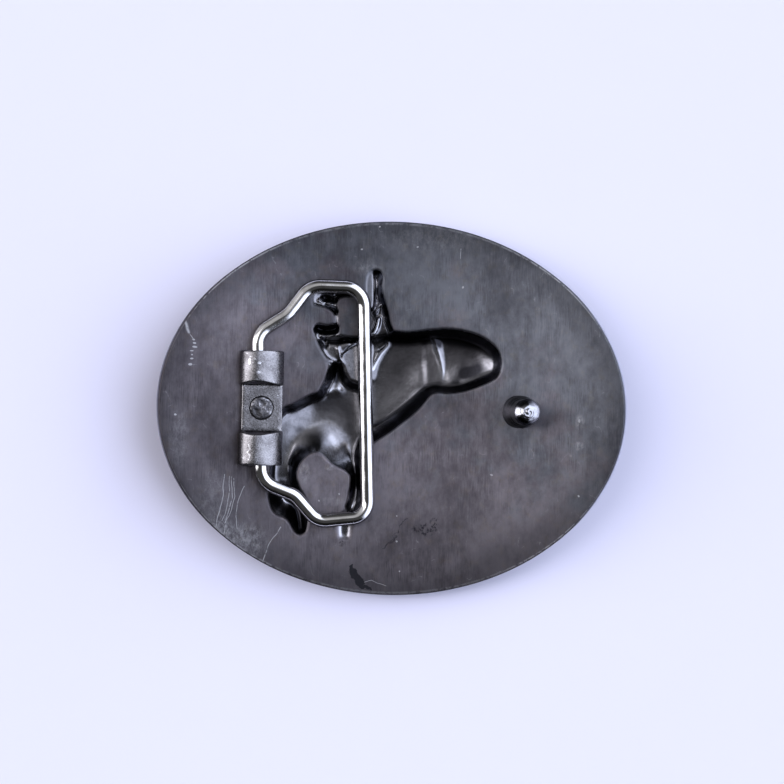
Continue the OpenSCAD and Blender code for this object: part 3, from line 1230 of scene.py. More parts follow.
# columns: x, y, depth of the horse's hollow there
HORSE_DEPTHS: Table = (
    # rump
    (10.0, 12.5, 3.30), (10.0, 9.5, 3.36), (10.5, 7.5, 3.32), (10.5, 6.0, 3.20), (10.5, 4.6, 3.08),
    (13.0, 12.0, 3.22), (13.0, 9.5, 3.28), (13.0, 7.5, 3.22), (13.0, 6.0, 3.10), (13.0, 4.8, 2.98),
    (15.7, 11.5, 3.05), (15.7, 9.5, 3.12), (15.7, 7.5, 3.05), (15.7, 6.0, 2.92),
    (17.0, 10.8, 2.85), (17.1, 9.2, 2.90), (17.0, 7.6, 2.88), (18.3, 9.2, 2.55), (19.4, 8.8, 2.30),
    # barrel
    (7.2, 12.0, 3.36), (7.2, 8.0, 3.36), (7.2, 5.0, 3.20),
    (5.0, 12.5, 3.46), (5.0, 10.0, 3.46), (5.0, 8.2, 3.44), (5.0, 6.0, 3.28), (5.2, 4.4, 3.20),
    (2.0, 12.0, 3.50), (2.0, 9.0, 3.51), (2.0, 6.5, 3.50), (2.3, 5.2, 3.46), (3.2, 3.2, 3.36),
    (3.8, 1.6, 3.24), (-1.0, 10.0, 3.55), (-1.0, 6.5, 3.56), (-1.0, 3.2, 3.50),
    (0.4, 1.4, 3.40), (1.6, -0.2, 3.28), (-3.5, 7.0, 3.60), (-3.5, 3.5, 3.58), (-3.4, 1.2, 3.48),
    (-2.4, -0.8, 3.38), (-1.2, -2.8, 3.26), (-5.5, 2.0, 3.58), (-5.0, -1.0, 3.46),
    (-4.6, -3.0, 3.28), (-4.6, -5.0, 3.12),
    # shoulder and neck
    (-7.5, 4.0, 3.50), (-7.5, 1.0, 3.46), (-7.5, -1.5, 3.40), (-7.2, -4.0, 3.28), (-6.6, -6.5, 3.14),
    (-10.5, 4.0, 3.38), (-10.5, 1.0, 3.40), (-10.5, -1.5, 3.36), (-13.0, 1.0, 3.32),
    (-13.0, -1.2, 3.32), (-14.7, -0.4, 3.28), (-16.0, -0.9, 3.04), (-17.6, -1.3, 2.76),
    (-19.2, -1.9, 2.45), (-15.2, -2.4, 3.16), (-16.8, -3.0, 2.90), (-18.6, -3.8, 2.56),
    (-20.3, -4.4, 2.40), (-17.2, -5.0, 2.84), (-19.0, -6.0, 2.56), (-20.6, -8.0, 2.50),
    (-13.0, -3.4, 3.20), (-10.0, -4.6, 3.18), (-12.0, -7.0, 3.10), (-8.4, -8.0, 2.95),
    (-16.0, -6.4, 2.80), (-19.6, -10.0, 2.52), (-19.4, -13.0, 2.56), (-17.6, -12.0, 2.56),
    # foreleg
    (-6.4, -10.0, 2.80), (-6.4, -13.0, 2.70), (-6.3, -15.5, 2.30), (-6.2, -17.6, 1.60),
    # head
    (-20.4, -16.2, 2.90), (-19.4, -18.6, 2.90), (-17.8, -20.4, 3.00), (-16.2, -21.8, 3.00),
    (-15.8, -19.0, 2.90), (-17.6, -17.0, 2.90),
)

# columns: x, y, width of the wall there, how softly it runs out into the floor
HORSE_WALLS: Table = (
    (3.0, 13.0, 1.9, 1.5), (11.0, 13.6, 2.0, 1.5), (17.5, 11.5, 2.1, 1.5), (19.6, 8.5, 1.5, 1.5),
    (17.5, 6.2, 1.6, 1.2), (13.0, 4.2, 1.3, 1.2), (9.0, 3.8, 1.2, 1.2), (6.6, 3.4, 1.5, 1.2),
    (5.0, 1.2, 2.1, 1.2), (1.5, -1.8, 2.3, 1.2), (-1.5, -4.0, 2.4, 1.2), (-4.5, -6.5, 2.4, 1.3),
    (-5.5, -9.5, 1.6, 1.4), (-15.0, 1.0, 1.7, 1.3), (-13.0, 2.6, 1.5, 1.3), (-19.0, -1.0, 1.5, 1.3),
    (-21.0, -3.0, 0.9, 1.3), (-21.3, -9.0, 0.9, 1.3), (-21.5, -13.5, 1.0, 1.3),
    (-13.5, -8.5, 1.2, 1.4), (-12.8, -5.5, 1.4, 1.5), (-10.0, -10.0, 1.0, 1.4), (-8.4, -9.4, 1.0, 1.4),
    (-15.4, -9.6, 1.2, 1.4), (-16.8, -8.6, 1.2, 1.4), (-17.8, -10.0, 1.2, 1.4), (-18.2, -12.6, 1.4, 1.4),
    (-14.4, -8.2, 1.2, 1.4),
    (-7.0, -12.6, 1.7, 1.2), (-7.2, -16.0, 1.6, 1.2), (-5.5, -13.0, 0.7, 1.4), (-5.4, -17.0, 0.9, 1.6),
    (-21.5, -17.0, 2.6, 1.15), (-18.5, -18.5, 2.8, 1.15), (-16.2, -22.0, 2.6, 1.15),
    (-12.0, 7.0, 1.4, 1.3), (-10.0, 5.0, 1.4, 1.3), (-8.0, 12.0, 1.2, 1.3),
)

# columns: x, y along the flat between the neck and the foreleg, width of the ramp that rises to it
NECK_RAMP: Table = (
    (-17.0, -13.4, 1.2), (-17.0, -12.2, 2.0), (-16.6, -10.8, 2.6), (-15.8, -9.7, 3.6),
    (-14.7, -8.8, 5.0), (-13.5, -8.5, 6.0), (-12.5, -9.0, 6.2), (-11.5, -9.9, 6.0),
    (-10.5, -10.7, 5.4), (-9.0, -11.3, 4.2), (-8.0, -11.8, 2.8), (-7.4, -12.6, 1.4),
)

HOLLOWS: tuple[Hollow, ...] = (
    # hoof
    Hollow(((-9.5, -20.6), (-9.6, -22.4), (-9.2, -23.9), (-8.0, -24.3), (-7.0, -23.9),
            (-6.7, -22.2), (-6.5, -20.4), (-7.0, -18.6), (-8.4, -18.8)), 1.0, 0.42),
    # rider's body
    Hollow(((-14.7, 14.0), (-14.5, 13.0), (-14.0, 11.7), (-13.2, 10.1), (-12.3, 8.7),
            (-11.9, 7.2), (-10.5, 4.5), (-5.0, 6.0), (-3.0, 12.0), (-5.2, 13.4), (-6.9, 12.9),
            (-9.0, 13.1), (-9.7, 13.7), (-10.0, 14.9), (-10.8, 15.3), (-12.3, 15.0),
            (-13.9, 15.2)), 0.9, 0.75),
    # rider's hat, and the gap behind the head
    Hollow(((-14.9, 18.6), (-13.6, 18.1), (-12.6, 18.1), (-11.7, 17.6), (-11.1, 16.9),
            (-10.9, 15.6), (-10.6, 14.9), (-10.05, 15.2), (-10.0, 17.0), (-10.1, 19.3),
            (-9.0, 20.1), (-7.5, 20.3), (-7.5, 21.1), (-9.0, 21.5), (-12.0, 21.8), (-14.2, 21.4),
            (-15.0, 20.2)), 0.9, 0.60),
    # rider's raised arm
    Hollow(((-5.3, 20.4), (-5.35, 22.6), (-5.0, 24.3), (-4.2, 25.2), (-3.0, 25.3), (-2.2, 24.7),
            (-1.95, 23.6), (-2.1, 22.0), (-1.8, 20.4), (-1.3, 18.8), (-0.8, 17.2), (-0.5, 15.6),
            (0.1, 14.2), (0.2, 12.6), (-2.5, 10.5), (-5.6, 11.5), (-5.9, 15.0), (-5.4, 18.4)),
           1.35, 1.7),
)

SHELVES: tuple[Shelf, ...] = (
    # flat strap over the flank, with its bevel towards the rump
    Shelf(((7.2, 14.0), (7.4, 12.0), (7.7, 11.0), (8.2, 9.5), (8.6, 8.0), (9.0, 6.3), (9.4, 4.6),
           (9.8, 2.0), (13.0, 2.0), (13.0, 14.0)), 0.7, (8.6, 8.0, 3.02), (0.28, 0.03)),
    Shelf(((5.6, 14.0), (5.7, 10.0), (6.0, 7.0), (6.1, 4.5), (6.2, 2.5), (9.6, 2.5), (9.2, 5.5),
           (8.7, 8.0), (8.3, 9.7), (7.7, 11.2), (7.3, 12.6), (7.2, 14.0)), 1.0, (7.0, 8.0, 3.22),
          (-0.01, 0.045)),
    # rider's near leg
    Shelf(((-9.9, 8.6), (-9.5, 7.4), (-8.9, 5.6), (-7.8, 4.2), (-5.0, 4.4),
           (-4.6, 11.6), (-7.0, 12.0), (-9.0, 11.8)), 1.8, (-9.5, 8.0, 0.95), (0.08, 0.05)),
    # inner side of the raised arm
    Shelf(((-5.6, 25.6), (-5.8, 19.0), (-4.4, 18.0), (-3.6, 18.6), (-3.6, 22.4), (-3.75, 24.4),
           (-4.3, 25.4)), 0.35, (-5.2, 22.0, 0.20), (0.10, 0.0)),
)

CREASES: tuple[Crease, ...] = (
    # dark gap under the rider's chin
    Crease(((-13.9, 14.4), (-13.0, 14.1), (-12.0, 14.0), (-11.0, 14.2), (-10.4, 14.6)), 0.55, -1.3),
    # collar and chest
    Crease(((-13.2, 12.9), (-12.0, 12.9), (-10.0, 13.2)), 0.30, 0.45),
    Crease(((-12.9, 12.1), (-12.3, 11.2)), 0.40, -0.9),
    Crease(((-12.0, 12.1), (-9.8, 12.1), (-8.4, 12.4), (-6.6, 12.2)), 0.42, -1.0),
    # hat
    Crease(((-12.8, 19.9), (-10.9, 19.7)), 0.55, -1.2),
    Crease(((-12.5, 18.35), (-11.3, 17.95), (-10.4, 17.3)), 0.34, -0.9),
    Crease(((-13.7, 19.4), (-12.3, 18.95), (-11.2, 18.5)), 0.24, 0.30),
    Crease(((-10.9, 20.7), (-7.8, 20.6)), 0.35, -0.8),
    # thigh and knee
    Crease(((-10.1, 10.8), (-9.6, 9.0), (-9.1, 7.5), (-8.7, 6.0)), 0.25, 0.30),
    Crease(((-11.9, 8.5), (-11.0, 8.2)), 0.40, 0.50),
    Crease(((-11.5, 3.0), (-10.0, 3.3)), 0.90, 0.35),
    # saddle leaf
    Crease(((-4.0, 5.6), (-3.4, 8.0), (-2.4, 10.0), (-1.2, 11.8)), 0.60, 0.42),
    Crease(((-2.5, 10.7), (-1.3, 11.8)), 0.22, -0.45),
    # folds of the sleeve
    Crease(((-4.4, 13.3), (-3.5, 13.8), (-3.0, 14.9), (-2.7, 16.3)), 0.34, 0.60),
    Crease(((-3.5, 17.3), (-2.6, 18.8)), 0.30, 0.45),
)

# strokes of painted light in the hollow: painted highlight above 0, painted shade below 0
PAINTED_LIGHT_STROKES: tuple[PaintedLightStroke, ...] = (
    # head and foreleg
    PaintedLightStroke(((-21.2, -17.0), (-20.4, -18.6), (-18.8, -19.6), (-17.4, -20.8)), 1.3, -0.75),
    PaintedLightStroke(((-19.0, -16.5), (-17.6, -18.2), (-16.4, -19.6)), 1.3, -0.65),
    PaintedLightStroke(((-17.0, -20.8), (-15.9, -22.8)), 1.3, -1.1),
    PaintedLightStroke(((-19.7, -17.1), (-18.9, -18.0)), 0.35, 1.3),
    PaintedLightStroke(((-6.5, -11.5), (-6.6, -14.0), (-7.1, -16.0), (-7.7, -18.0)), 0.8, -1.0),
    PaintedLightStroke(((-6.9, -18.2), (-5.5, -16.7)), 0.25, 1.2),
    # hoof
    PaintedLightStroke(((-8.9, -21.8), (-8.9, -23.9)), 0.30, 1.0),
    PaintedLightStroke(((-7.2, -21.5), (-7.3, -23.5)), 0.25, 0.9),
    # neck
    PaintedLightStroke(((-19.0, -11.0), (-18.5, -8.0), (-17.0, -6.0), (-15.0, -3.9), (-12.2, -2.6), (-10.5, -3.1),
            (-8.5, -5.0)), 0.5, 0.2),
    PaintedLightStroke(((-18.2, -12.4), (-17.5, -10.4), (-16.2, -8.8), (-14.8, -7.6), (-13.2, -7.2)), 0.9, -0.7),
    PaintedLightStroke(((-10.9, -5.6), (-9.9, -7.4)), 0.8, 0.5),
    PaintedLightStroke(((-20.5, -3.5), (-20.5, -9.0)), 0.7, -0.4),
    PaintedLightStroke(((-18.2, -7.2), (-18.9, -9.4), (-19.2, -11.8)), 0.45, 0.30),
    PaintedLightStroke(((-15.0, -3.9), (-12.3, -2.7), (-10.5, -3.1)), 0.55, 0.22),
    # rider's hat
    PaintedLightStroke(((-14.2, 20.9), (-7.6, 20.9)), 0.45, -0.8),
    PaintedLightStroke(((-12.8, 19.8), (-11.0, 19.8)), 0.55, -0.9),
    PaintedLightStroke(((-13.5, 19.5), (-12.3, 18.9), (-11.2, 18.3)), 0.22, 0.8),
    PaintedLightStroke(((-14.2, 18.6), (-13.3, 18.4)), 0.40, 0.5),
    PaintedLightStroke(((-12.6, 18.5), (-11.3, 18.1), (-10.2, 17.3)), 0.30, -1.0),
    PaintedLightStroke(((-11.3, 17.1), (-11.0, 16.1)), 0.25, 0.7),
    PaintedLightStroke(((-10.1, 16.2), (-9.9, 15.4)), 0.25, 1.0),
    PaintedLightStroke(((-10.8, 17.3), (-10.5, 15.2)), 0.22, -0.6),
    # rider's body
    PaintedLightStroke(((-13.9, 14.4), (-12.2, 14.2), (-10.3, 14.6)), 0.60, -1.1),
    PaintedLightStroke(((-13.3, 13.0), (-11.8, 12.9), (-10.0, 13.2)), 0.28, 0.5),
    PaintedLightStroke(((-12.8, 12.4), (-12.2, 11.2)), 0.40, -0.7),
    PaintedLightStroke(((-12.0, 12.1), (-9.7, 12.1)), 0.35, -0.5),
    PaintedLightStroke(((-9.3, 12.4), (-6.6, 12.3)), 0.60, -0.9),
    PaintedLightStroke(((-14.6, 13.6), (-13.8, 11.3), (-12.9, 9.8), (-11.9, 8.2)), 0.18, 0.6),
    PaintedLightStroke(((-10.4, 7.4), (-10.3, 4.8)), 0.70, -1.0),
    PaintedLightStroke(((-10.0, 10.8), (-9.4, 9.0), (-9.0, 7.5), (-8.7, 6.0)), 0.18, 0.35),
    PaintedLightStroke(((-8.9, 5.4), (-8.0, 4.4), (-6.8, 4.4)), 0.30, 0.5),
    PaintedLightStroke(((-8.4, 10.5), (-7.6, 7.0)), 0.9, 0.15),
    PaintedLightStroke(((-13.8, 3.1), (-13.7, 3.0)), 0.30, 1.2),
    PaintedLightStroke(((-11.2, 2.9), (-9.8, 3.3)), 0.55, 0.8),
    # saddle leaf and raised arm
    PaintedLightStroke(((-3.6, 7.0), (-3.0, 9.5), (-1.6, 12.0), (-1.0, 12.3)), 0.20, 0.7),
    PaintedLightStroke(((-3.5, 7.0), (-2.2, 9.7), (-0.9, 11.2), (-0.8, 12.0)), 0.20, 0.7),
    PaintedLightStroke(((-5.1, 21.0), (-5.1, 24.3)), 0.22, 0.6),
    PaintedLightStroke(((-3.7, 21.0), (-3.7, 24.4)), 0.18, 0.9),
    PaintedLightStroke(((-2.7, 24.0), (-2.7, 21.0), (-2.4, 19.5)), 0.5, -0.6),
    PaintedLightStroke(((-4.0, 24.8), (-2.6, 24.8)), 0.45, -0.9),
    PaintedLightStroke(((-2.8, 16.3), (-2.9, 15.0), (-3.6, 13.6), (-4.2, 13.3)), 0.22, 0.9),
    PaintedLightStroke(((-3.4, 16.2), (-3.4, 17.6)), 0.45, -0.8),
    PaintedLightStroke(((-1.9, 20.5), (-1.0, 16.5), (0.0, 14.4)), 0.55, -0.9),
    # strap, belly and rump
    PaintedLightStroke(((5.8, 13.0), (5.8, 9.5)), 0.6, -0.4),
    PaintedLightStroke(((8.2, 10.8), (8.8, 8.6), (9.3, 6.8), (9.8, 5.3)), 0.70, 0.70),
    PaintedLightStroke(((13.2, 6.6), (15.2, 7.4), (16.2, 8.2)), 1.0, -0.7),
    PaintedLightStroke(((10.5, 11.6), (13.5, 11.2), (13.0, 8.8)), 1.8, -0.5),
    PaintedLightStroke(((12.5, 7.2), (15.0, 7.6), (15.2, 10.0)), 1.1, -0.35),
    PaintedLightStroke(((0.0, 11.5), (3.5, 10.5), (1.0, 7.5)), 2.2, -0.35),
    PaintedLightStroke(((-3.0, -3.2), (-1.6, -2.2), (-0.1, -1.2), (1.9, 0.3), (3.3, 1.5), (4.3, 2.4), (5.8, 3.9),
            (8.2, 4.6), (12.0, 5.0)), 0.6, -0.8),
    PaintedLightStroke(((-5.6, -4.6), (-6.0, -7.5), (-6.1, -11.0)), 0.45, -0.7),
    PaintedLightStroke(((-4.0, -6.0), (0.0, -3.4), (4.0, 0.2), (6.5, 2.6)), 0.9, -0.8),
    PaintedLightStroke(((-1.0, 12.5), (4.0, 12.7), (10.0, 12.9), (15.0, 12.1), (18.2, 10.6)), 1.1, -0.7),
    PaintedLightStroke(((11.5, 5.9), (14.5, 6.3), (17.2, 7.4)), 0.7, -0.45),
    PaintedLightStroke(((5.9, 9.5), (5.9, 4.5)), 0.5, -0.3),
    PaintedLightStroke(((9.8, 6.8), (10.3, 5.6)), 0.6, 0.45),
    PaintedLightStroke(((8.3, 12.6), (8.5, 11.5)), 0.45, -0.8),
    PaintedLightStroke(((-1.5, 0.2), (1.0, 2.6), (4.0, 5.6)), 1.4, 0.32),
    PaintedLightStroke(((7.0, 10.5), (7.1, 6.0)), 0.6, -0.32),
    PaintedLightStroke(((16.6, 9.8), (16.8, 8.4)), 0.8, 0.25),
    # shoulder
    PaintedLightStroke(((-12.5, 0.2), (-9.5, 1.0), (-7.5, -1.5)), 2.0, -0.45),
    PaintedLightStroke(((-7.6, -3.6), (-6.6, -6.0)), 0.9, -0.4),
    PaintedLightStroke(((-16.6, -4.2), (-18.6, -6.4)), 0.7, -0.35),
    PaintedLightStroke(((-14.6, -5.6), (-13.4, -5.8)), 1.0, -0.3),
    PaintedLightStroke(((-19.0, -3.6), (-16.0, -4.4)), 0.8, -0.30),
    PaintedLightStroke(((-18.2, -1.6), (-15.4, -2.6)), 0.6, -0.25),
    PaintedLightStroke(((-19.2, -8.6), (-19.0, -10.6)), 0.5, 0.28),
    PaintedLightStroke(((-8.8, -4.6), (-8.1, -6.4)), 0.8, -0.50),
    PaintedLightStroke(((-8.8, -9.4), (-7.4, -8.8)), 0.8, -0.6),
)


@dataclass
class FigureRelief:
    """The hollow back of a traditional bucking horse and rider."""

    curve_steps: int = 4
    crease_steps: int = 6
    ramp_steps: int = 8
    wall_widths: Pair = (0.7, 3.2)
    wall_feet: Pair = (1.1, 2.0)
    depths: Pair = (1.0, 3.7)
    small_foot: float = 1.6
    ramp_foot: float = 2.0
    least_depth: float = 0.05
    # depths between which the finer details come up
    detail_depths: Pair = (0.0, 0.5)
    floor: SpotSurface = field(init=False)
    walls: SpotSurface = field(init=False)
    feet: SpotSurface = field(init=False)

    def __post_init__(self) -> None:
        """Fits the smooth surfaces of floor depth and wall width."""
        self.floor = SpotSurface(HORSE_DEPTHS)
        self.walls = SpotSurface(HORSE_WALLS)
        self.feet = SpotSurface(HORSE_WALLS, 3)

    @staticmethod
    def wall_share(inset: np.ndarray, width: np.ndarray | float, foot: np.ndarray | float) -> np.ndarray:
        """How deep a wall is, as a share of the floor's depth.

        Args:
            inset: Distance from the wall's edge.
            width: How wide the wall is.
            foot: How softly it runs out into the floor, 1 for a straight wall.

        Returns:
            0 at the edge and 1 from the wall's foot on.
        """
        share = np.clip(inset / width, 0.0, 1.0)
        return 1.0 - (1.0 - share) ** foot

    def insets(self, x: np.ndarray, y: np.ndarray) -> list[np.ndarray]:
        """The inset from the edge of the horse's hollow and of each other hollow."""
        outlines = [HORSE_EDGE, *(h.outline for h in HOLLOWS)]
        return [inset_from(x, y, smooth_through(o, self.curve_steps, True)) for o in outlines]

    def depth(self, x: np.ndarray, y: np.ndarray, insets: list[np.ndarray], grow: float) -> np.ndarray:
        """Works out how deep the hollow is.

        Args:
            x: Places along X.
            y: Places along Y, of the same shape.
            insets: What insets() gives for these places.
            grow: How far every hollow is spread and deepened, as for the front's side of the wall.

        Returns:
            The depth at each place, 0 on the flat of the plate.
        """
        width = np.clip(self.walls.height(x, y), *self.wall_widths) + grow
        foot = np.clip(self.feet.height(x, y), *self.wall_feet)
        floor = np.clip(self.floor.height(x, y), *self.depths) + grow
        share = np.minimum(self.wall_share(insets[0] + grow, width, foot), self._ramp(x, y, insets[0], grow))
        total = floor * share
        for hollow, inset in zip(HOLLOWS, insets[1:]):
            share = self.wall_share(inset + grow, hollow.wall + grow, self.small_foot)
            total = np.maximum(total, (hollow.depth + grow) * share)
        return total

    def _ramp(self, x: np.ndarray, y: np.ndarray, inset: np.ndarray, grow: float) -> np.ndarray:
        """Works out the wide ramp between the neck and the flat below it.

        Args:
            x: Places along X.
            y: Places along Y, of the same shape.
            inset: Inset of each place from the edge of the horse's hollow.
            grow: How far the ramp is spread.

        Returns:
            The share of the floor's depth that the ramp leaves at each place.
        """
        edge = smooth_through(NECK_RAMP, self.ramp_steps, False)
        gaps = np.hypot(x[..., None] - edge[:, 0], y[..., None] - edge[:, 1])
        away = gaps.min(axis=-1)
        width = edge[gaps.argmin(axis=-1), 2]
        inset = np.where(inset >= 0.0, away, -away)
        return self.wall_share(inset + grow, width + grow, self.ramp_foot)

    def painted_light(self, x: np.ndarray, y: np.ndarray) -> np.ndarray:
        """Works out where the hollow gets a painted highlight and where it gets painted shade.

        Args:
            x: Places along X.
            y: Places along Y, of the same shape.

        Returns:
            The painted light at each place, above 0 to 1 for painted highlight and below 0 to -1 for painted
            shade.
        """
        total = np.zeros_like(x)
        for stroke in PAINTED_LIGHT_STROKES:
            gap = path_distance(x, y, smooth_through(stroke.path, self.curve_steps, False))
            total += stroke.painted_light * np.exp(-((gap / stroke.width) ** 2))
        return np.clip(total, -1.0, 1.0)

    def detailed(self, x: np.ndarray, y: np.ndarray, depth: np.ndarray) -> np.ndarray:
        """Adds the shelves, grooves and ridges to a hollow's depth.

        Args:
            x: Places along X.
            y: Places along Y, of the same shape.
            depth: The depth at each place.

        Returns:
            The depth with the details, which fade out towards the flat of the plate.
        """
        total = depth
        for shelf in SHELVES:
            at_x, at_y, at_depth = shelf.through
            plane = at_depth + shelf.slope[0] * (x - at_x) + shelf.slope[1] * (y - at_y)
            inset = inset_from(x, y, smooth_through(shelf.outline, self.curve_steps, True))
            share = ease(inset, -shelf.soft / 2.0, shelf.soft / 2.0)
            total = total + (np.minimum(total, np.maximum(plane, self.least_depth)) - total) * share
        fade = ease(total, *self.detail_depths)
        for crease in CREASES:
            gap = path_distance(x, y, smooth_through(crease.path, self.crease_steps, False))
            total = total - crease.rise * fade * np.exp(-((gap / crease.width) ** 2))
        return total


@dataclass
class Plate:
    """The cast oval plate, its back sculpted on a lattice that follows the oval."""

    length: float = 85.2
    width: float = 68.2
    thickness: float = 2.6
    figure_wall: float = 1.3
    edge_round: float = 0.28
    cells_x: int = 248
    cells_y: int = 272
    # on the lattice's square, -1 to 1: where the fine cells start and end, number of cells before them
    fine_x: tuple[float, float, int] = (-0.605, 0.515, 16)
    fine_y: tuple[float, float, int] = (-0.755, 0.795, 12)
    coarse: int = 4
    floor_passes: int = 6
    # insets from the hollow's edge between which its floor becomes rounder
    rounder: Pair = (0.5, 1.6)
    # depths between which a place comes to count as hollow
    hollow_depths: Pair = (0.05, 0.45)
    edge_turns: tuple[float, ...] = (0.52, 1.05, 1.57)
    edge_waist: float = 0.55
    edge_halves: Pair = (42.0, 34.0)
    sharp_angle: float = 50.0
    bow: Bow = field(default_factory=Bow)
    relief: FigureRelief = field(default_factory=FigureRelief)

    def __post_init__(self) -> None:
        """Works out the back face's length, since the edge stands square to the bow."""
        half = self.length / 2.0
        lean = self.bow.lean(half - self.thickness * half / self.bow.radius)
        self.back_length = self.length - 2.0 * self.thickness * math.sin(lean)

    @staticmethod
    def _spread(fine: tuple[float, float, int], cells: int) -> np.ndarray:
        """Spaces lattice lines from -1 to 1, coarsely outside the fine cells.

        Args:
            fine: Where the fine cells start and end, and how many cells come before and after them.
            cells: Number of cells in all.

        Returns:
            The lines' places.
        """
        start, end, outer = fine
        before = np.linspace(-1.0, start, outer, endpoint=False)
        within = np.linspace(start, end, cells - 2 * outer, endpoint=False)
        return np.concatenate([before, within, np.linspace(end, 1.0, outer + 1)])

    def _lattice(self) -> tuple[np.ndarray, np.ndarray]:
        """Lays the lattice's square onto the oval inside the rounded edge.

        Returns:
            The lattice's x and y.
        """
        columns, rows = self._spread(self.fine_x, self.cells_x), self._spread(self.fine_y, self.cells_y)
        across, up = np.meshgrid(columns, rows)
        half_l = self.back_length / 2.0 - self.edge_round
        half_w = self.width / 2.0 - self.edge_round
        x = half_l * across * np.sqrt(1.0 - up**2 / 2.0)
        y = half_w * up * np.sqrt(1.0 - across**2 / 2.0)
        return x, y

    def _below(self, x: np.ndarray, y: np.ndarray, drop: np.ndarray | float) -> np.ndarray:
        """Finds points below the back face, square to the bow.

        Args:
            x: Places on the face along X.
            y: Places along Y, of the same shape.
            drop: How far below the face the points are.

        Returns:
            The points, with x, y and z along the last axis.
        """
        lean = self.bow.lean(x)
        return np.stack([x + drop * np.sin(lean), y, self.bow.z(x) - drop * np.cos(lean)], -1)

    def _depth(self, x: np.ndarray, y: np.ndarray) -> np.ndarray:
        """Works out the back's relief.

        Args:
            x: Places along X.
            y: Places along Y, of the same shape.

        Returns:
            How far each place lies below the bowed face.
        """
        insets = self.relief.insets(x, y)
        depth = self.relief.depth(x, y, insets, 0.0)
        share = ease(np.maximum.reduce(insets), *self.rounder)
        depth = depth + (soften(depth, self.floor_passes) - depth) * share
        return soften(self.relief.detailed(x, y, depth), 1)

    def build(self) -> bpy.types.Object:
        """Builds the plate as one closed mesh.

        Returns:
            The plate, with numbers for how much each corner lies in the hollow, its painted highlight and
            painted shade, and whether it is on the back.
        """
        x, y = self._lattice()
        depth = self._depth(x, y)
        back = np.stack([x, y, self.bow.z(x) - depth], -1)
        number = np.arange(x.size).reshape(x.shape)
        ring = self._rim(number)
        edge, edge_faces, last = self._edge(x.ravel()[ring], y.ravel()[ring], ring, x.size)
        under = dict(zip(ring.tolist(), last.tolist()))
        front, front_faces = self._front(x, y, number, under, x.size + len(edge))
        points = np.vstack([back.reshape(-1, 3), edge, front])
        points[:, 2] = np.maximum(points[:, 2], 0.0)
        faces = self._back_faces(number, back[..., 2]) + edge_faces + front_faces
        piece = make_piece("buckle_plate_cast", points, faces)
        hollow, painted_light = ease(depth, *self.hollow_depths), self.relief.painted_light(x, y)
        rest = np.zeros(len(points) - x.size)
        for name, values in (("hollow", hollow), ("painted_light", painted_light), ("back", np.ones(x.size))):
            mark_corners(piece, name, np.concatenate([values.ravel(), rest]))
        sharpen(piece, self.sharp_angle)
        log.info("plate: %d corners, %d faces", len(points), len(piece.data.polygons))
        return piece

    @staticmethod
    def _back_faces(number: np.ndarray, z: np.ndarray) -> Faces:
        """Splits each cell of the back along the diagonal that follows the relief.

        Args:
            number: The lattice's corner numbers.
            z: The lattice's heights.

        Returns:
            The corner numbers of two triangles for each cell.
        """
        a, b = number[:-1, :-1], number[:-1, 1:]
        c, d = number[1:, 1:], number[1:, :-1]
        one = np.abs(z[:-1, :-1] - z[1:, 1:]) <= np.abs(z[:-1, 1:] - z[1:, :-1])
        first = np.where(one[..., None], np.stack([a, b, c], -1), np.stack([a, b, d], -1))
        second = np.where(one[..., None], np.stack([a, c, d], -1), np.stack([b, c, d], -1))
        return [tuple(f) for f in np.concatenate([first.reshape(-1, 3), second.reshape(-1, 3)]).tolist()]

    @staticmethod
    def _rim(number: np.ndarray) -> np.ndarray:
        """The lattice's outermost corner numbers, once round the oval."""
        return np.concatenate([number[0, :-1], number[:-1, -1], number[-1, :0:-1], number[:0:-1, 0]])

    def _edge_steps(self) -> list[Pair]:
        """Lists the rings of the plate's rounded edge, from the back to the front.

        Returns:
            How far in and how far down each ring is.
        """
        round_in = [self.edge_round * (1.0 - math.sin(turn)) for turn in self.edge_turns]
        round_down = [self.edge_round * (1.0 - math.cos(turn)) for turn in self.edge_turns]
        steps = list(zip(round_in, round_down))
        lower = [(inset, self.thickness - drop) for inset, drop in reversed(steps)]
        return [*steps, (0.0, self.thickness * self.edge_waist), *lower, (self.edge_round, self.thickness)]

    def _edge(
        self, x: np.ndarray, y: np.ndarray, ring: np.ndarray, total: int
    ) -> tuple[np.ndarray, Faces, np.ndarray]:
        """Makes the plate's rounded edge.

        Args:
            x: The rim's places along X, where the edge's rounding starts.
            y: Its places along Y.
            ring: The rim's corner numbers on the back.
            total: Number of corners made before the edge.

        Returns:
            The edge's corners, its faces and the corner numbers of its last ring.
        """
        half_l, half_w = self.back_length / 2.0, self.width / 2.0
        x = x * half_l / (half_l - self.edge_round)
        y = y * half_w / (half_w - self.edge_round)
        rings, faces = [], []
        last = ring
        for inset, drop in self._edge_steps():
            new = total + len(rings) * len(ring) + np.arange(len(ring))
            quads = np.stack([last, new, np.roll(new, -1), np.roll(last, -1)], -1)
            faces += [tuple(quad) for quad in quads.tolist()]
            drawn_x, drawn_y = (1.0 - inset / half for half in self.edge_halves)
            rings.append(self._below(x * drawn_x, y * drawn_y, drop))
            last = new
        return np.vstack(rings), faces, last

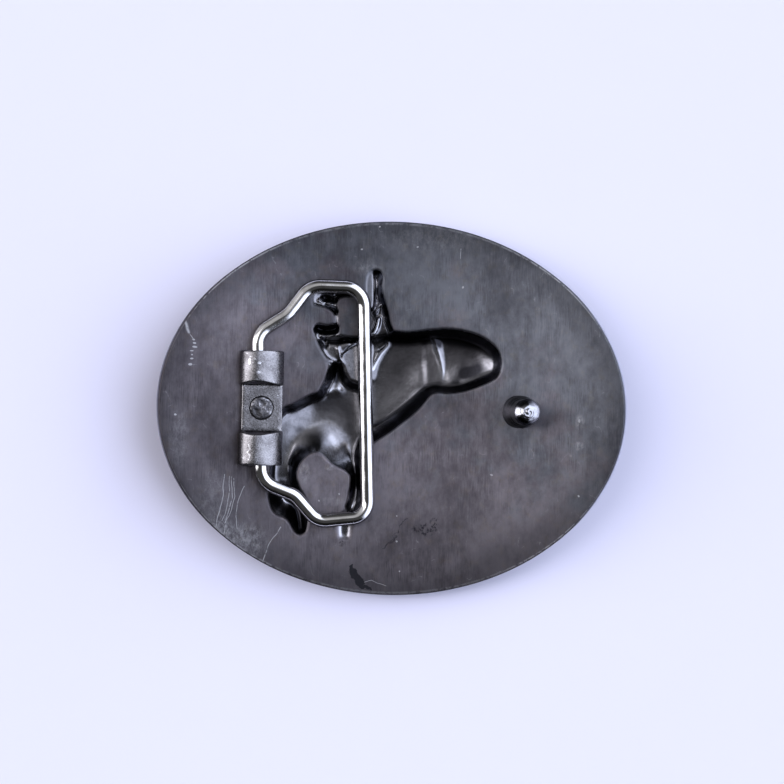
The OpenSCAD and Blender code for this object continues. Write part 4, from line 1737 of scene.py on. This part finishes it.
    def _front(
        self, x: np.ndarray, y: np.ndarray, number: np.ndarray, under: dict[int, int], total: int
    ) -> tuple[np.ndarray, Faces]:
        """Makes the hidden front skin, on every fourth line of the lattice.

        Args:
            x: The back lattice's x.
            y: The back lattice's y.
            number: The back lattice's corner numbers.
            under: For the rim's corner numbers on the back, those on the front; it is added to.
            total: Number of corners made before this skin.

        Returns:
            The skin's inner corners and its faces.
        """
        step = self.coarse
        rows, columns = x.shape
        fx, fy = x[::step, ::step], y[::step, ::step]
        grown = self.relief.depth(fx, fy, self.relief.insets(fx, fy), self.figure_wall)
        proud = np.maximum(soften(grown, 1) - self.thickness, 0.0)
        points = self._below(fx, fy, self.thickness + proud)
        inner = []
        for j in range(points.shape[0]):
            for i in range(points.shape[1]):
                key = int(number[j * step, i * step])
                if key not in under:
                    under[key] = total + len(inner)
                    inner.append(points[j, i])
        faces = []
        for j in range(0, rows - 1, step):
            for i in range(0, columns - 1, step):
                low, high, left, right = j, j + step, i, i + step
                loop = [(low, k) for k in self._stops(left, right, low == 0)]
                loop += [(k, right) for k in self._stops(low, high, right == columns - 1)]
                loop += [(high, k) for k in self._stops(right, left, high == rows - 1)]
                loop += [(k, left) for k in self._stops(high, low, left == 0)]
                faces.append(tuple(under[int(number[p])] for p in reversed(loop)))
        return np.array(inner), faces

    @staticmethod
    def _stops(start: int, end: int, fine: bool) -> list[int]:
        """Lists lattice lines along one side of a coarse face.

        Args:
            start: The line at the side's start.
            end: The line at its end, which isn't listed.
            fine: Whether the lines between the two are listed too.

        Returns:
            The lines in order.
        """
        if not fine:
            return [start]
        return list(range(start, end, 1 if end > start else -1))


# The bracket and its rivet


@dataclass
class HingeBracket:
    """The strap with a flat middle between two arches, in its own frame with Y along the arches."""

    x: float = -23.72
    y: float = -0.44
    lift: float = 0.08
    length: float = 20.7
    arch_width: float = 8.0
    arch_height: float = 4.0
    metal: float = 1.1
    middle_length: float = 8.4
    middle_width: float = 7.4
    middle_x: float = 0.1
    # how far the middle reaches into the arches
    tuck: float = 0.06
    crest_x: float = -1.0
    hole: float = 2.13
    bevel: float = 0.22
    bevel_turns: tuple[float, ...] = (0.0, 0.5, 1.0, 1.57)
    around: int = 96
    # numbers of points up an arch's straight foot, round to its crest and down its front
    arch_steps: tuple[int, int, int] = (4, 15, 20)
    # how far an arch's inner end leans back from the middle, and how far along the arch that is felt
    slit: float = 0.62
    slit_run: float = 1.6
    # shares of the arch's height between which it comes to lean
    slit_heights: Pair = (0.35, 0.95)
    # it leans less at the front: by what share, and the places along X between which that grows
    slit_less: float = 0.45
    slit_front: Pair = (-1.0, 3.5)
    # height of the waves in the sheet, and how closely they follow along the arch and along X
    wave: float = 0.03
    wave_pitch: Pair = (2.1, 1.3)
    sharp_angle: float = 40.0
    # columns: distance along an arch from its inner end before it is scaled, how much its sheet is
    # drawn in there on each side
    stations: Table = (
        (0.0, 0.18),
        (0.06, 0.084),
        (0.16, 0.024),
        (0.3, 0.0),
        (0.8, 0.0),
        (1.6, 0.0),
        (2.8, 0.0),
        (4.0, 0.0),
        (5.0, 0.0),
        (5.55, 0.0),
        (5.75, 0.024),
        (5.88, 0.084),
        (5.95, 0.18),
    )
    # columns: share of the way from the hole to the outline, distance out, distance below the top
    face_rings: Table = (
        (0.0, 0.0, 0.5),
        (0.0, 0.0, 0.12),
        (0.0, 0.10, 0.0),
        (0.35, 0.0, 0.0),
        (0.7, 0.0, 0.0),
    )
    bow: Bow = field(default_factory=Bow)

    def _profile(self) -> tuple[np.ndarray, np.ndarray]:
        """Draws the middle line of an arch's sheet, from foot to foot.

        Returns:
            The line's points and its outward normals, with x and z as columns.
        """
        foot, rise, fall = self.arch_steps
        half = self.arch_width / 2.0 - self.metal / 2.0
        top = self.arch_height - self.metal / 2.0
        back, front = half + self.crest_x, half - self.crest_x
        line = [(-half, z) for z in np.linspace(0.0, top - back, foot, endpoint=False)]
        for angle in np.linspace(math.pi, math.pi / 2.0, rise, endpoint=False):
            line.append((self.crest_x + back * math.cos(angle), top - back * (1.0 - math.sin(angle))))
        for angle in np.linspace(math.pi / 2.0, 0.0, fall):
            line.append((self.crest_x + front * math.cos(angle), top * math.sin(angle)))
        points = np.array(line)
        along = np.gradient(points, axis=0)
        along /= np.linalg.norm(along, axis=1)[:, None]
        return points, np.stack([-along[:, 1], along[:, 0]], -1)

    def _arch_rings(self) -> list[np.ndarray]:
        """Makes the rings of corners along an arch, from its inner end out.

        Returns:
            The rings, each once round the sheet's section.
        """
        line, normals = self._profile()
        start, end = self.middle_length / 2.0, self.length / 2.0
        scale = (end - start) / self.stations[-1][0]
        height = line[:, 1] / self.arch_height
        less = 1.0 - self.slit_less * ease(line[:, 0], *self.slit_front)
        slit = self.slit * ease(height, *self.slit_heights) * less
        along, across = self.wave_pitch
        rings = []
        for run, inset in self.stations:
            y = start + run * scale + slit * max(0.0, 1.0 - run / self.slit_run)
            half = self.metal / 2.0 - inset
            wave = self.wave * np.sin(run * along + line[:, 0] * across) * (height > 0.5)
            outer = line + normals * (half + wave[:, None])
            inner = (line - normals * half)[::-1]
            back = np.stack([inner[:, 0], y[::-1], inner[:, 1]], -1)
            rings.append(np.vstack([np.stack([outer[:, 0], y, outer[:, 1]], -1), back]))
        return rings

    def _arch(self, side: int, first: int) -> tuple[np.ndarray, Faces]:
        """Makes one arch.

        Args:
            side: 1 for the arch at +Y and -1 for the one at -Y.
            first: Number of its first corner.

        Returns:
            Its corners and faces.
        """
        rings = self._arch_rings()
        corners = np.vstack(rings)
        corners[:, 1] *= side
        corners[:, 2] = np.maximum(corners[:, 2], 0.0)
        around, count = len(rings[0]), len(rings)
        faces = tube_faces(count, around, first)
        for base in (0, (count - 1) * around):
            for k in range(around // 2 - 1):
                cap = (base + k, base + k + 1, base + around - 2 - k, base + around - 1 - k)
                faces.append(tuple(first + c for c in (cap if base == 0 else cap[::-1])))
        if side > 0:
            faces = [f[::-1] for f in faces]
        return corners, faces

    def _middle(self, first: int) -> tuple[np.ndarray, Faces]:
        """Makes the flat middle, a ring of metal between its hole and its outline.

        Args:
            first: Number of its first corner.

        Returns:
            Its corners and faces.
        """
        circle = circle_points(self.around)
        sides = np.where(circle[:, 0] > 0.0, 1.0, -1.0) * self.middle_x + self.middle_width / 2.0
        ends = self.middle_length / 2.0 + self.tuck
        reach = 1.0 / np.maximum(np.abs(circle[:, 0]) / sides, np.abs(circle[:, 1]) / ends)
        outline = circle * reach[:, None]
        half = np.stack([sides, np.full(self.around, ends)], -1)
        inward = -np.sign(outline) * (np.abs(np.abs(outline) - half) < 1e-6)
        levels = []
        for share, out, down in self.face_rings:
            hole = circle * (self.hole + out)
            levels.append((hole + (outline + inward * self.bevel - hole) * share, self.metal - down))
        for turn in self.bevel_turns:
            edge = outline + inward * self.bevel * (1.0 - math.sin(turn))
            levels.append((edge, self.metal - self.bevel * (1.0 - math.cos(turn))))
        levels += [(outline, 0.0), (circle * self.hole, 0.0)]
        rings = [np.column_stack([flat, np.full(self.around, z)]) for flat, z in levels]
        return np.vstack(rings), tube_faces(len(rings), self.around, first, True)

    def build(self) -> bpy.types.Object:
        """Builds the bracket and seats it on the plate.

        Returns:
            The bracket.
        """
        far, far_faces = self._arch(1, 0)
        near, near_faces = self._arch(-1, len(far))
        middle, middle_faces = self._middle(len(far) + len(near))
        faces = far_faces + near_faces + middle_faces
        seat = self.bow.seat(self.x, self.y, self.lift)
        piece = make_piece("hinge_bracket_strap", placed(np.vstack([far, near, middle]), seat), faces)
        turn_outward(piece)
        sharpen(piece, self.sharp_angle)
        log.info("bracket: %d faces", len(faces))
        return piece


@dataclass
class HingeRivet:
    """The post through the bracket, beaten into a low uneven head."""

    radius: float = 2.05
    metal: float = 1.1
    proud: float = 0.12
    # the most that the head stands above the bracket, and how far its face is sunk
    highest: float = 0.16
    sunk: float = 0.05
    # shares of the radius from its first ring to its last, and their number
    face_rings: tuple[float, float, int] = (0.15, 0.86, 14)
    around: int = 72
    sharp_angle: float = 45.0
    # columns: share of the radius, distance below the top
    edge_rings: Table = (
        (0.93, 0.06),
        (0.98, 0.16),
        (1.0, 0.3),
    )
    # columns: times round the head, turn from its middle to its edge, turn of it all, depth
    knocks: Table = (
        (2.0, 2.6, 0.4, 0.22),
        (3.0, -5.0, 1.1, 0.20),
        (7.0, 6.0, 0.0, 0.07),
    )
    bracket: HingeBracket = field(default_factory=HingeBracket)

    def _knocked(self, angle: np.ndarray, share: float) -> np.ndarray:
        """Works out how the blows moved the head's face.

        Args:
            angle: Directions round the head, in radians.
            share: The share of the radius.

        Returns:
            How far the face is moved up in each direction.
        """
        waves = 0.0
        for times, turn, start, deep in self.knocks:
            waves = waves + deep * np.cos(times * angle + turn * share + start)
        return share * (1.0 - share) * waves - self.sunk

    def build(self) -> bpy.types.Object:
        """Builds the rivet and seats it on the plate.

        Returns:
            The rivet.
        """
        circle = circle_points(self.around)
        angle = np.arctan2(circle[:, 1], circle[:, 0])
        top = self.metal + self.proud
        face = [(share, 0.0) for share in np.linspace(*self.face_rings)]
        rings = []
        for share, down in ((0.02, 0.02), *face, *self.edge_rings, (1.0, top)):
            z = np.full(self.around, top - down)
            if top - down > self.metal:
                z = np.minimum(z + self._knocked(angle, share), self.metal + self.highest)
            rings.append(np.column_stack([self.radius * share * circle, z]))
        corners, faces = capped_tube(rings)
        seat = self.bracket.bow.seat(self.bracket.x, self.bracket.y, self.bracket.lift)
        piece = make_piece("hinge_rivet_head", placed(corners, seat), faces)
        turn_outward(piece)
        sharpen(piece, self.sharp_angle)
        log.info("rivet: %d faces", len(faces))
        return piece


# The stud

# a ring's corners, how much it belongs to the top and how much painted shade it has in each direction
StudRing = tuple[np.ndarray, float, np.ndarray]


@dataclass
class BeltStud:
    """The leaning peg that goes into the belt's hole, its top beaten into facets."""

    x: float = 23.5
    y: float = -0.1
    lift: float = 0.08
    lean: float = 8.0
    foot_radius: float = 2.95
    radius: float = 2.4
    length: float = 7.2
    cone: float = 2.6
    dome: float = 1.6
    # height of the plain foot, and how far the stud reaches down into the plate before it is cut
    foot: float = 0.3
    below: float = 2.0
    around: int = 96
    ring_step: float = 0.15
    # directions of the casting's two seams on either side of +X in degrees, their width and height
    seam: float = 132.0
    seam_width: float = 4.5
    seam_height: float = 0.07
    # height and pitch of the turned rings
    turned: float = 0.018
    turned_pitch: float = 7.0
    out_of_round: float = 0.06
    # how softly the facets meet
    facet_soft: float = 0.10
    # depth and pitch of the swirl on the top, and the distances from its middle between which it fades
    swirl: float = 0.07
    swirl_pitch: float = 7.5
    swirl_reach: Pair = (1.7, 1.2)
    # how much the dome belongs to the top at its edge and at its middle, and between which slopes
    dome_top: Pair = (0.3, 1.0)
    dome_slopes: Pair = (8.0, 36.0)
    shank_top: float = 0.8
    # directions from +X, in degrees, between which the painted shade comes up and goes, and slopes of the
    # dome
    painted_shade_from: Pair = (42.0, 84.0)
    painted_shade_to: Pair = (172.0, 146.0)
    painted_shade_slopes: Pair = (66.0, 40.0)
    foot_painted_shade: float = 0.6
    bow: Bow = field(default_factory=Bow)
    # columns: direction of the facet round the stud in degrees, its lean from the top, its distance
    facets: Table = (
        (178.0, 38.0, 1.72),
        (4.0, 34.0, 1.66),
        (62.0, 42.0, 1.72),
        (118.0, 40.0, 1.76),
        (-58.0, 44.0, 1.74),
        (-122.0, 42.0, 1.76),
        (30.0, 10.0, 1.58),
    )

    def build(self) -> bpy.types.Object:
        """Builds the stud, cut at its foot to the plate's lean.

        Returns:
            The stud, with numbers for how much each corner belongs to its top and how much painted shade it
            has.
        """
        circle = circle_points(self.around)
        side = np.degrees(np.arctan2(circle[:, 1], circle[:, 0]))
        # painted shade on the shank's sides towards -X; the turned rings are cut only where it is
        darkening = ease(np.abs(side), *self.painted_shade_from) * ease(np.abs(side), *self.painted_shade_to)
        parts = [*self._shank(circle, side, darkening), *self._dome(circle, darkening)]
        corners, faces = capped_tube([ring for ring, _, _ in parts])
        place = Matrix.Translation((self.x, self.y, float(self.bow.z(self.x))))
        corners = placed(corners, place @ Matrix.Rotation(math.radians(self.lean), 4, "Y"))
        seat = self.bow.seat(self.x, self.y, self.lift)
        local = placed(corners, seat.inverted())
        local[:, 2] = np.maximum(local[:, 2], 0.0)
        piece = make_piece("belt_stud_peg", placed(local, seat), faces)
        mark_corners(piece, "top", np.repeat([top for _, top, _ in parts], self.around))
        mark_corners(piece, "darkening", np.concatenate([darkened for _, _, darkened in parts]))
        log.info("stud: %d faces", len(faces))
        return piece

    def _shank(self, circle: np.ndarray, side: np.ndarray, darkening: np.ndarray) -> list[StudRing]:
        """Makes the turned shank, from below its foot up to the dome.

        Args:
            circle: Points round a circle of radius 1, two columns.
            side: Their directions in degrees, -180 to 180.
            darkening: How much painted shade the stud has in these directions.

        Returns:
            Its rings of corners.
        """
        straight = self.length - self.dome
        seams = np.exp(-(((np.abs(side) - self.seam) / self.seam_width) ** 2))
        oval = self.out_of_round * np.cos(2.0 * np.radians(side))
        parts = []
        above_foot = np.arange(2.0 * self.foot, straight - 0.1, self.ring_step)
        for z in (-self.below, 0.0, self.foot, *above_foot, straight):
            share = min(max((z - self.foot) / (self.cone - self.foot), 0.0), 1.0)
            radii = self.foot_radius + (self.radius - self.foot_radius) * share + oval * share
            if z > self.foot:
                turned = self.turned * math.sin(self.turned_pitch * z)
                radii = radii + self.seam_height * seams + turned * darkening
            ring = np.column_stack([radii[:, None] * circle, np.full(self.around, z)])
            top = 0.0 if z < straight else self.shank_top
            parts.append((ring, top, darkening * (1.0 if z > self.foot else self.foot_painted_shade)))
        return parts

    def _dome(self, circle: np.ndarray, darkening: np.ndarray) -> list[StudRing]:
        """Makes the beaten dome.

        Args:
            circle: Points round a circle of radius 1, two columns.
            darkening: How much painted shade the stud has in their directions.

        Returns:
            Its rings of corners.
        """
        edge, middle = self.dome_top
        parts = []
        for degrees in (*range(6, 90, 4), 89.5):
            turn = math.radians(degrees)
            unit = np.column_stack([math.cos(turn) * circle, np.full(self.around, math.sin(turn))])
            ring = self._beaten(unit * [self.radius, self.radius, self.dome])
            ring = ring + [0.0, 0.0, self.length - self.dome]
            top = edge + (middle - edge) * ease(degrees, *self.dome_slopes)
            parts.append((ring, top, darkening * ease(degrees, *self.painted_shade_slopes)))
        return parts

    def _beaten(self, point: np.ndarray) -> np.ndarray:
        """Cuts the dome back to its facets, softly.

        Args:
            point: Corners of the round dome about its own centre, three columns.

        Returns:
            The corners moved in towards the facets that they stand out of.
        """
        moved = point.copy()
        for turn, lean, distance in self.facets:
            a, b = math.radians(turn), math.radians(lean)
            normal = np.array([math.cos(a) * math.sin(b), math.sin(a) * math.sin(b), math.cos(b)])
            over = (moved @ normal - distance) / self.facet_soft
            cut = self.facet_soft * np.log1p(np.exp(np.clip(over, -30.0, 30.0)))
            moved -= cut[:, None] * normal
        reach = np.hypot(moved[:, 0], moved[:, 1])
        wave = np.sin(reach * self.swirl_pitch + np.arctan2(moved[:, 1], moved[:, 0]))
        moved[:, 2] -= self.swirl * (1.0 + wave) * ease(reach, *self.swirl_reach)
        return moved


# The loop


@dataclass
class WireLoop:
    """The bent wire loop, its two ends held in the arches."""

    diameter: float = 2.55
    hinge: tuple[float, float, float] = (-23.88, -0.46, 7.5722)
    skew: float = 2.7
    dip: float = 5.0757
    # columns: distance out from the hinge, distance along it, bend radius at that corner
    corners: Table = (
        (0.0, 5.2, 0.0),
        (0.0, 13.6, 3.7),
        (5.6, 16.95, 5.0),
        (9.65, 21.95, 4.0),
        (19.4, 21.4, 3.6),
        (19.15, -20.2, 3.0),
        (9.95, -20.8, 3.4),
        (6.0, -16.0, 4.0),
        (0.0, -13.4, 3.8),
        (0.0, -5.4, 0.0),
    )
    around: int = 40
    bend_steps: int = 15
    step: float = 0.35
    # columns: distance beyond the wire's end, the share of its thickness that is left there
    tip: Table = (
        (0.25, 0.45),
        (0.12, 0.78),
        (0.04, 0.93),
    )

    def centre_line(self) -> np.ndarray:
        """Rounds the corners of the loop.

        Returns:
            Points along the wire's middle in the loop's own plane, two columns.
        """
        rows = np.array(self.corners)
        points = [rows[0, :2]]
        for k in range(1, len(rows) - 1):
            corner, radius = rows[k, :2], rows[k, 2]
            back = rows[k - 1, :2] - corner
            ahead = rows[k + 1, :2] - corner
            back, ahead = back / np.linalg.norm(back), ahead / np.linalg.norm(ahead)
            opening = math.acos(float(np.clip(back @ ahead, -1.0, 1.0)))
            run = radius / math.tan(opening / 2.0)
            middle = corner + (back + ahead) / np.linalg.norm(back + ahead) * radius / math.sin(opening / 2.0)
            start, end = corner + back * run, corner + ahead * run
            first, swing = start - middle, end - middle
            angle = math.atan2(first[0] * swing[1] - first[1] * swing[0], float(first @ swing))
            for share in np.linspace(0.0, 1.0, self.bend_steps):
                c, s = math.cos(angle * share), math.sin(angle * share)
                turned = np.array([c * first[0] - s * first[1], s * first[0] + c * first[1]])
                points.append(middle + turned)
        points.append(rows[-1, :2])
        return self._even(np.array(points), self.step)

    @staticmethod
    def _even(points: np.ndarray, step: float) -> np.ndarray:
        """Spaces points evenly along their line.

        Args:
            points: The line's points, two columns.
            step: About how far apart the new points are.

        Returns:
            The new points, two columns.
        """
        runs = np.concatenate([[0.0], np.cumsum(np.linalg.norm(np.diff(points, axis=0), axis=1))])
        stops = np.linspace(0.0, runs[-1], int(runs[-1] / step) + 1)
        return np.stack([np.interp(stops, runs, points[:, k]) for k in (0, 1)], -1)

    def build(self) -> bpy.types.Object:
        """Sweeps the wire along its line and rounds its two ends.

        Returns:
            The loop.
        """
        line = self.centre_line()
        ahead = np.gradient(line, axis=0)
        ahead /= np.linalg.norm(ahead, axis=1)[:, None]
        side = np.stack([-ahead[:, 1], ahead[:, 0]], -1)
        circle = circle_points(self.around) * self.diameter / 2.0
        stations = [(0, -beyond, share) for beyond, share in self.tip]
        stations += [(k, 0.0, 1.0) for k in range(len(line))]
        stations += [(len(line) - 1, beyond, share) for beyond, share in reversed(self.tip)]
        rings = []
        for k, beyond, share in stations:
            across = line[k] + ahead[k] * beyond + side[k] * circle[:, :1] * share
            rings.append(np.column_stack([across, circle[:, 1] * share]))
        corners, faces = capped_tube(rings)
        place = Matrix.Translation(self.hinge)
        place = place @ Matrix.Rotation(math.radians(self.skew), 4, "Z")
        place = place @ Matrix.Rotation(math.radians(self.dip), 4, "Y")
        piece = make_piece("wire_loop_bent", placed(corners, place), faces)
        turn_outward(piece)
        log.info("loop: %d faces", len(faces))
        return piece


# Floor, light and camera


@dataclass
class Studio:
    """A plain pale floor under soft light from both sides, seen from straight above."""

    view_middle: Pair = (0.0, 2.98)
    view_height: float = 354.4
    view_width: float = 143.1
    turn: float = 1.3
    sensor: float = 36.0
    clip: Pair = (0.01, 100.0)
    floor_half: float = 2500.0
    floor_drop: float = 0.02
    right_light: float = 2.35
    left_light: float = 4.8
    far_light: float = 0.46
    overhead: float = 0.06
    shadow: float = 0.012
    # parts of a direction along X and Y, -1 to 1, between which each light comes up or goes
    near_levels: Pair = (-0.77, -0.50)
    far_from: Pair = (-0.05, 0.20)
    far_to: Pair = (0.87, 0.50)
    right_slant: float = 0.45
    right_far: Pair = (0.20, 0.50)
    right_near: Pair = (-0.10, 0.12)
    left_slant: float = 3.0
    left_levels: Pair = (0.35, 0.85)
    left_side: Pair = (-0.12, -0.42)
    left_far: Pair = (0.42, 0.12)
    # what is left of the left light at its far side
    left_rest: float = 0.04
    right_tint: Colour = (0.86, 0.94, 1.18)
    left_tint: Colour = (0.97, 0.96, 1.04)
    over_tint: Colour = (0.98, 0.98, 1.04)
    pale: Colour = (0.87, 0.885, 1.0)
    bow: Bow = field(default_factory=Bow)

    def floor(self) -> None:
        """Lays the floor."""
        square = np.array([(-1.0, -1.0), (1.0, -1.0), (1.0, 1.0), (-1.0, 1.0)]) * self.floor_half
        corners = np.column_stack([square, np.full(len(square), -self.floor_drop)])
        sheet = make_piece("floor_sheet", corners, [(0, 1, 2, 3)])
        sheet.data.materials.append(PaleSheet().build())

    def light(self) -> None:
        """Sets the soft light: bright from both sides, dim overhead and from the near side."""
        world = bpy.data.worlds.new("soft_studio")
        bpy.context.scene.world = world
        world.use_nodes = True
        sky = Graph(world.node_tree)
        parts = sky.node("ShaderNodeSeparateXYZ")
        sky.feed(parts.inputs[0], sky.node("ShaderNodeTexCoord").outputs["Generated"])
        x, y = parts.outputs["X"], parts.outputs["Y"]
        light = sky.scaled(self.over_tint, self._overhead(sky, y))
        sides = (
            (self._right(sky, x, y), self.right_light, self.right_tint),
            (self._left(sky, x, y), self.left_light, self.left_tint),
        )
        for share, strength, tint in sides:
            light = sky.vector("ADD", light, sky.scaled(tint, sky.times(share, strength)))
        glow, plain = sky.node("ShaderNodeBackground"), sky.node("ShaderNodeBackground")
        sky.feed(glow.inputs["Color"], light)
        sky.feed(plain.inputs["Color"], (*self.pale, 1.0))
        seen = sky.node("ShaderNodeMixShader")
        from_camera = sky.node("ShaderNodeLightPath").outputs["Is Camera Ray"]
        for target, value in zip(seen.inputs, (from_camera, glow.outputs[0], plain.outputs[0])):
            sky.feed(target, value)
        sky.feed(sky.node("ShaderNodeOutputWorld").inputs["Surface"], seen.outputs[0])

    def _overhead(self, sky: Graph, y: Socket) -> Socket:
        """Makes the dim light from above, from the near side and from the far side.

        Args:
            sky: The world's nodes.
            y: How far each direction points to +Y, -1 to 1.

        Returns:
            Its strength.
        """
        near = sky.times(sky.band(y, *self.near_levels), self.overhead)
        far = sky.times(sky.band(y, *self.far_from), sky.band(y, *self.far_to))
        return sky.math("MULTIPLY_ADD", far, self.far_light, sky.math("ADD", near, self.shadow))

    def _right(self, sky: Graph, x: Socket, y: Socket) -> Socket:
        """Makes the light from the right, between two slanting lines.

        Args:
            sky: The world's nodes.
            x: How far each direction points to +X, -1 to 1.
            y: How far it points to +Y.

        Returns:
            Its share, 0 to 1.
        """
        far = sky.band(sky.math("MULTIPLY_ADD", y, self.right_slant, x), *self.right_far)
        near = sky.band(sky.math("MULTIPLY_ADD", y, -self.right_slant, x), *self.right_near)
        return sky.times(far, near)

    def _left(self, sky: Graph, x: Socket, y: Socket) -> Socket:
        """Makes the light from the left, which fades towards its far side.

        Args:
            sky: The world's nodes.
            x: How far each direction points to +X, -1 to 1.
            y: How far it points to +Y.

        Returns:
            Its share, 0 to 1.
        """
        slanting = sky.math("SUBTRACT", sky.times(y, self.left_slant), x)
        fading = sky.math("MULTIPLY_ADD", sky.band(y, *self.left_far), 1.0 - self.left_rest, self.left_rest)
        return sky.times(sky.band(slanting, *self.left_levels), sky.band(x, *self.left_side), fading)

    def camera(self) -> None:
        """Hangs the camera over the buckle."""
        data = bpy.data.cameras.new("view_camera")
        data.sensor_width = self.sensor
        data.lens = self.sensor * (self.view_height - self.bow.height) / self.view_width
        data.clip_start, data.clip_end = self.clip
        camera = bpy.data.objects.new("view_camera", data)
        camera.location = Vector((*self.view_middle, self.view_height)) * MM
        camera.rotation_euler = (0.0, 0.0, math.radians(self.turn))
        bpy.context.scene.collection.objects.link(camera)
        bpy.context.scene.camera = camera

    def build(self) -> None:
        """Makes floor, light and camera, and shows colours as they are."""
        self.floor()
        self.light()
        self.camera()
        bpy.context.scene.view_settings.view_transform = "Standard"


def dress(
    piece: bpy.types.Object, body: Body, material: bpy.types.Material, node: str
) -> bpy.types.Object:
    """Gives a piece its finish and its place in the assembly.

    Args:
        piece: The piece.
        body: The body that it rides on.
        material: Its material.
        node: The solid that it stands for.

    Returns:
        The same piece.
    """
    piece.data.materials.append(material)
    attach(piece, body.value)
    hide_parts(node)
    log.info("%s stands for %s on %s", piece.name, node, body.value)
    return piece


def main() -> None:
    """Builds every piece, then the studio; the pieces log their face counts."""
    logging.basicConfig(level=logging.INFO, format="%(message)s")
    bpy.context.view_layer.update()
    dress(Plate().build(), Body.BUCKLE, Gunmetal().build(), "buckle_plate")
    dress(BeltStud().build(), Body.BUCKLE, BeatenBright().build(), "belt_stud")
    dress(HingeBracket().build(), Body.BUCKLE, GrainyZinc().build(), "hinge_bracket")
    dress(HingeRivet().build(), Body.BUCKLE, PeenedMetal().build(), "hinge_rivet")
    dress(WireLoop().build(), Body.LOOP, BrightNickel().build(), "wire_loop")
    Studio().build()
    log.info("sizes written")


if __name__ == "__main__":
    main()
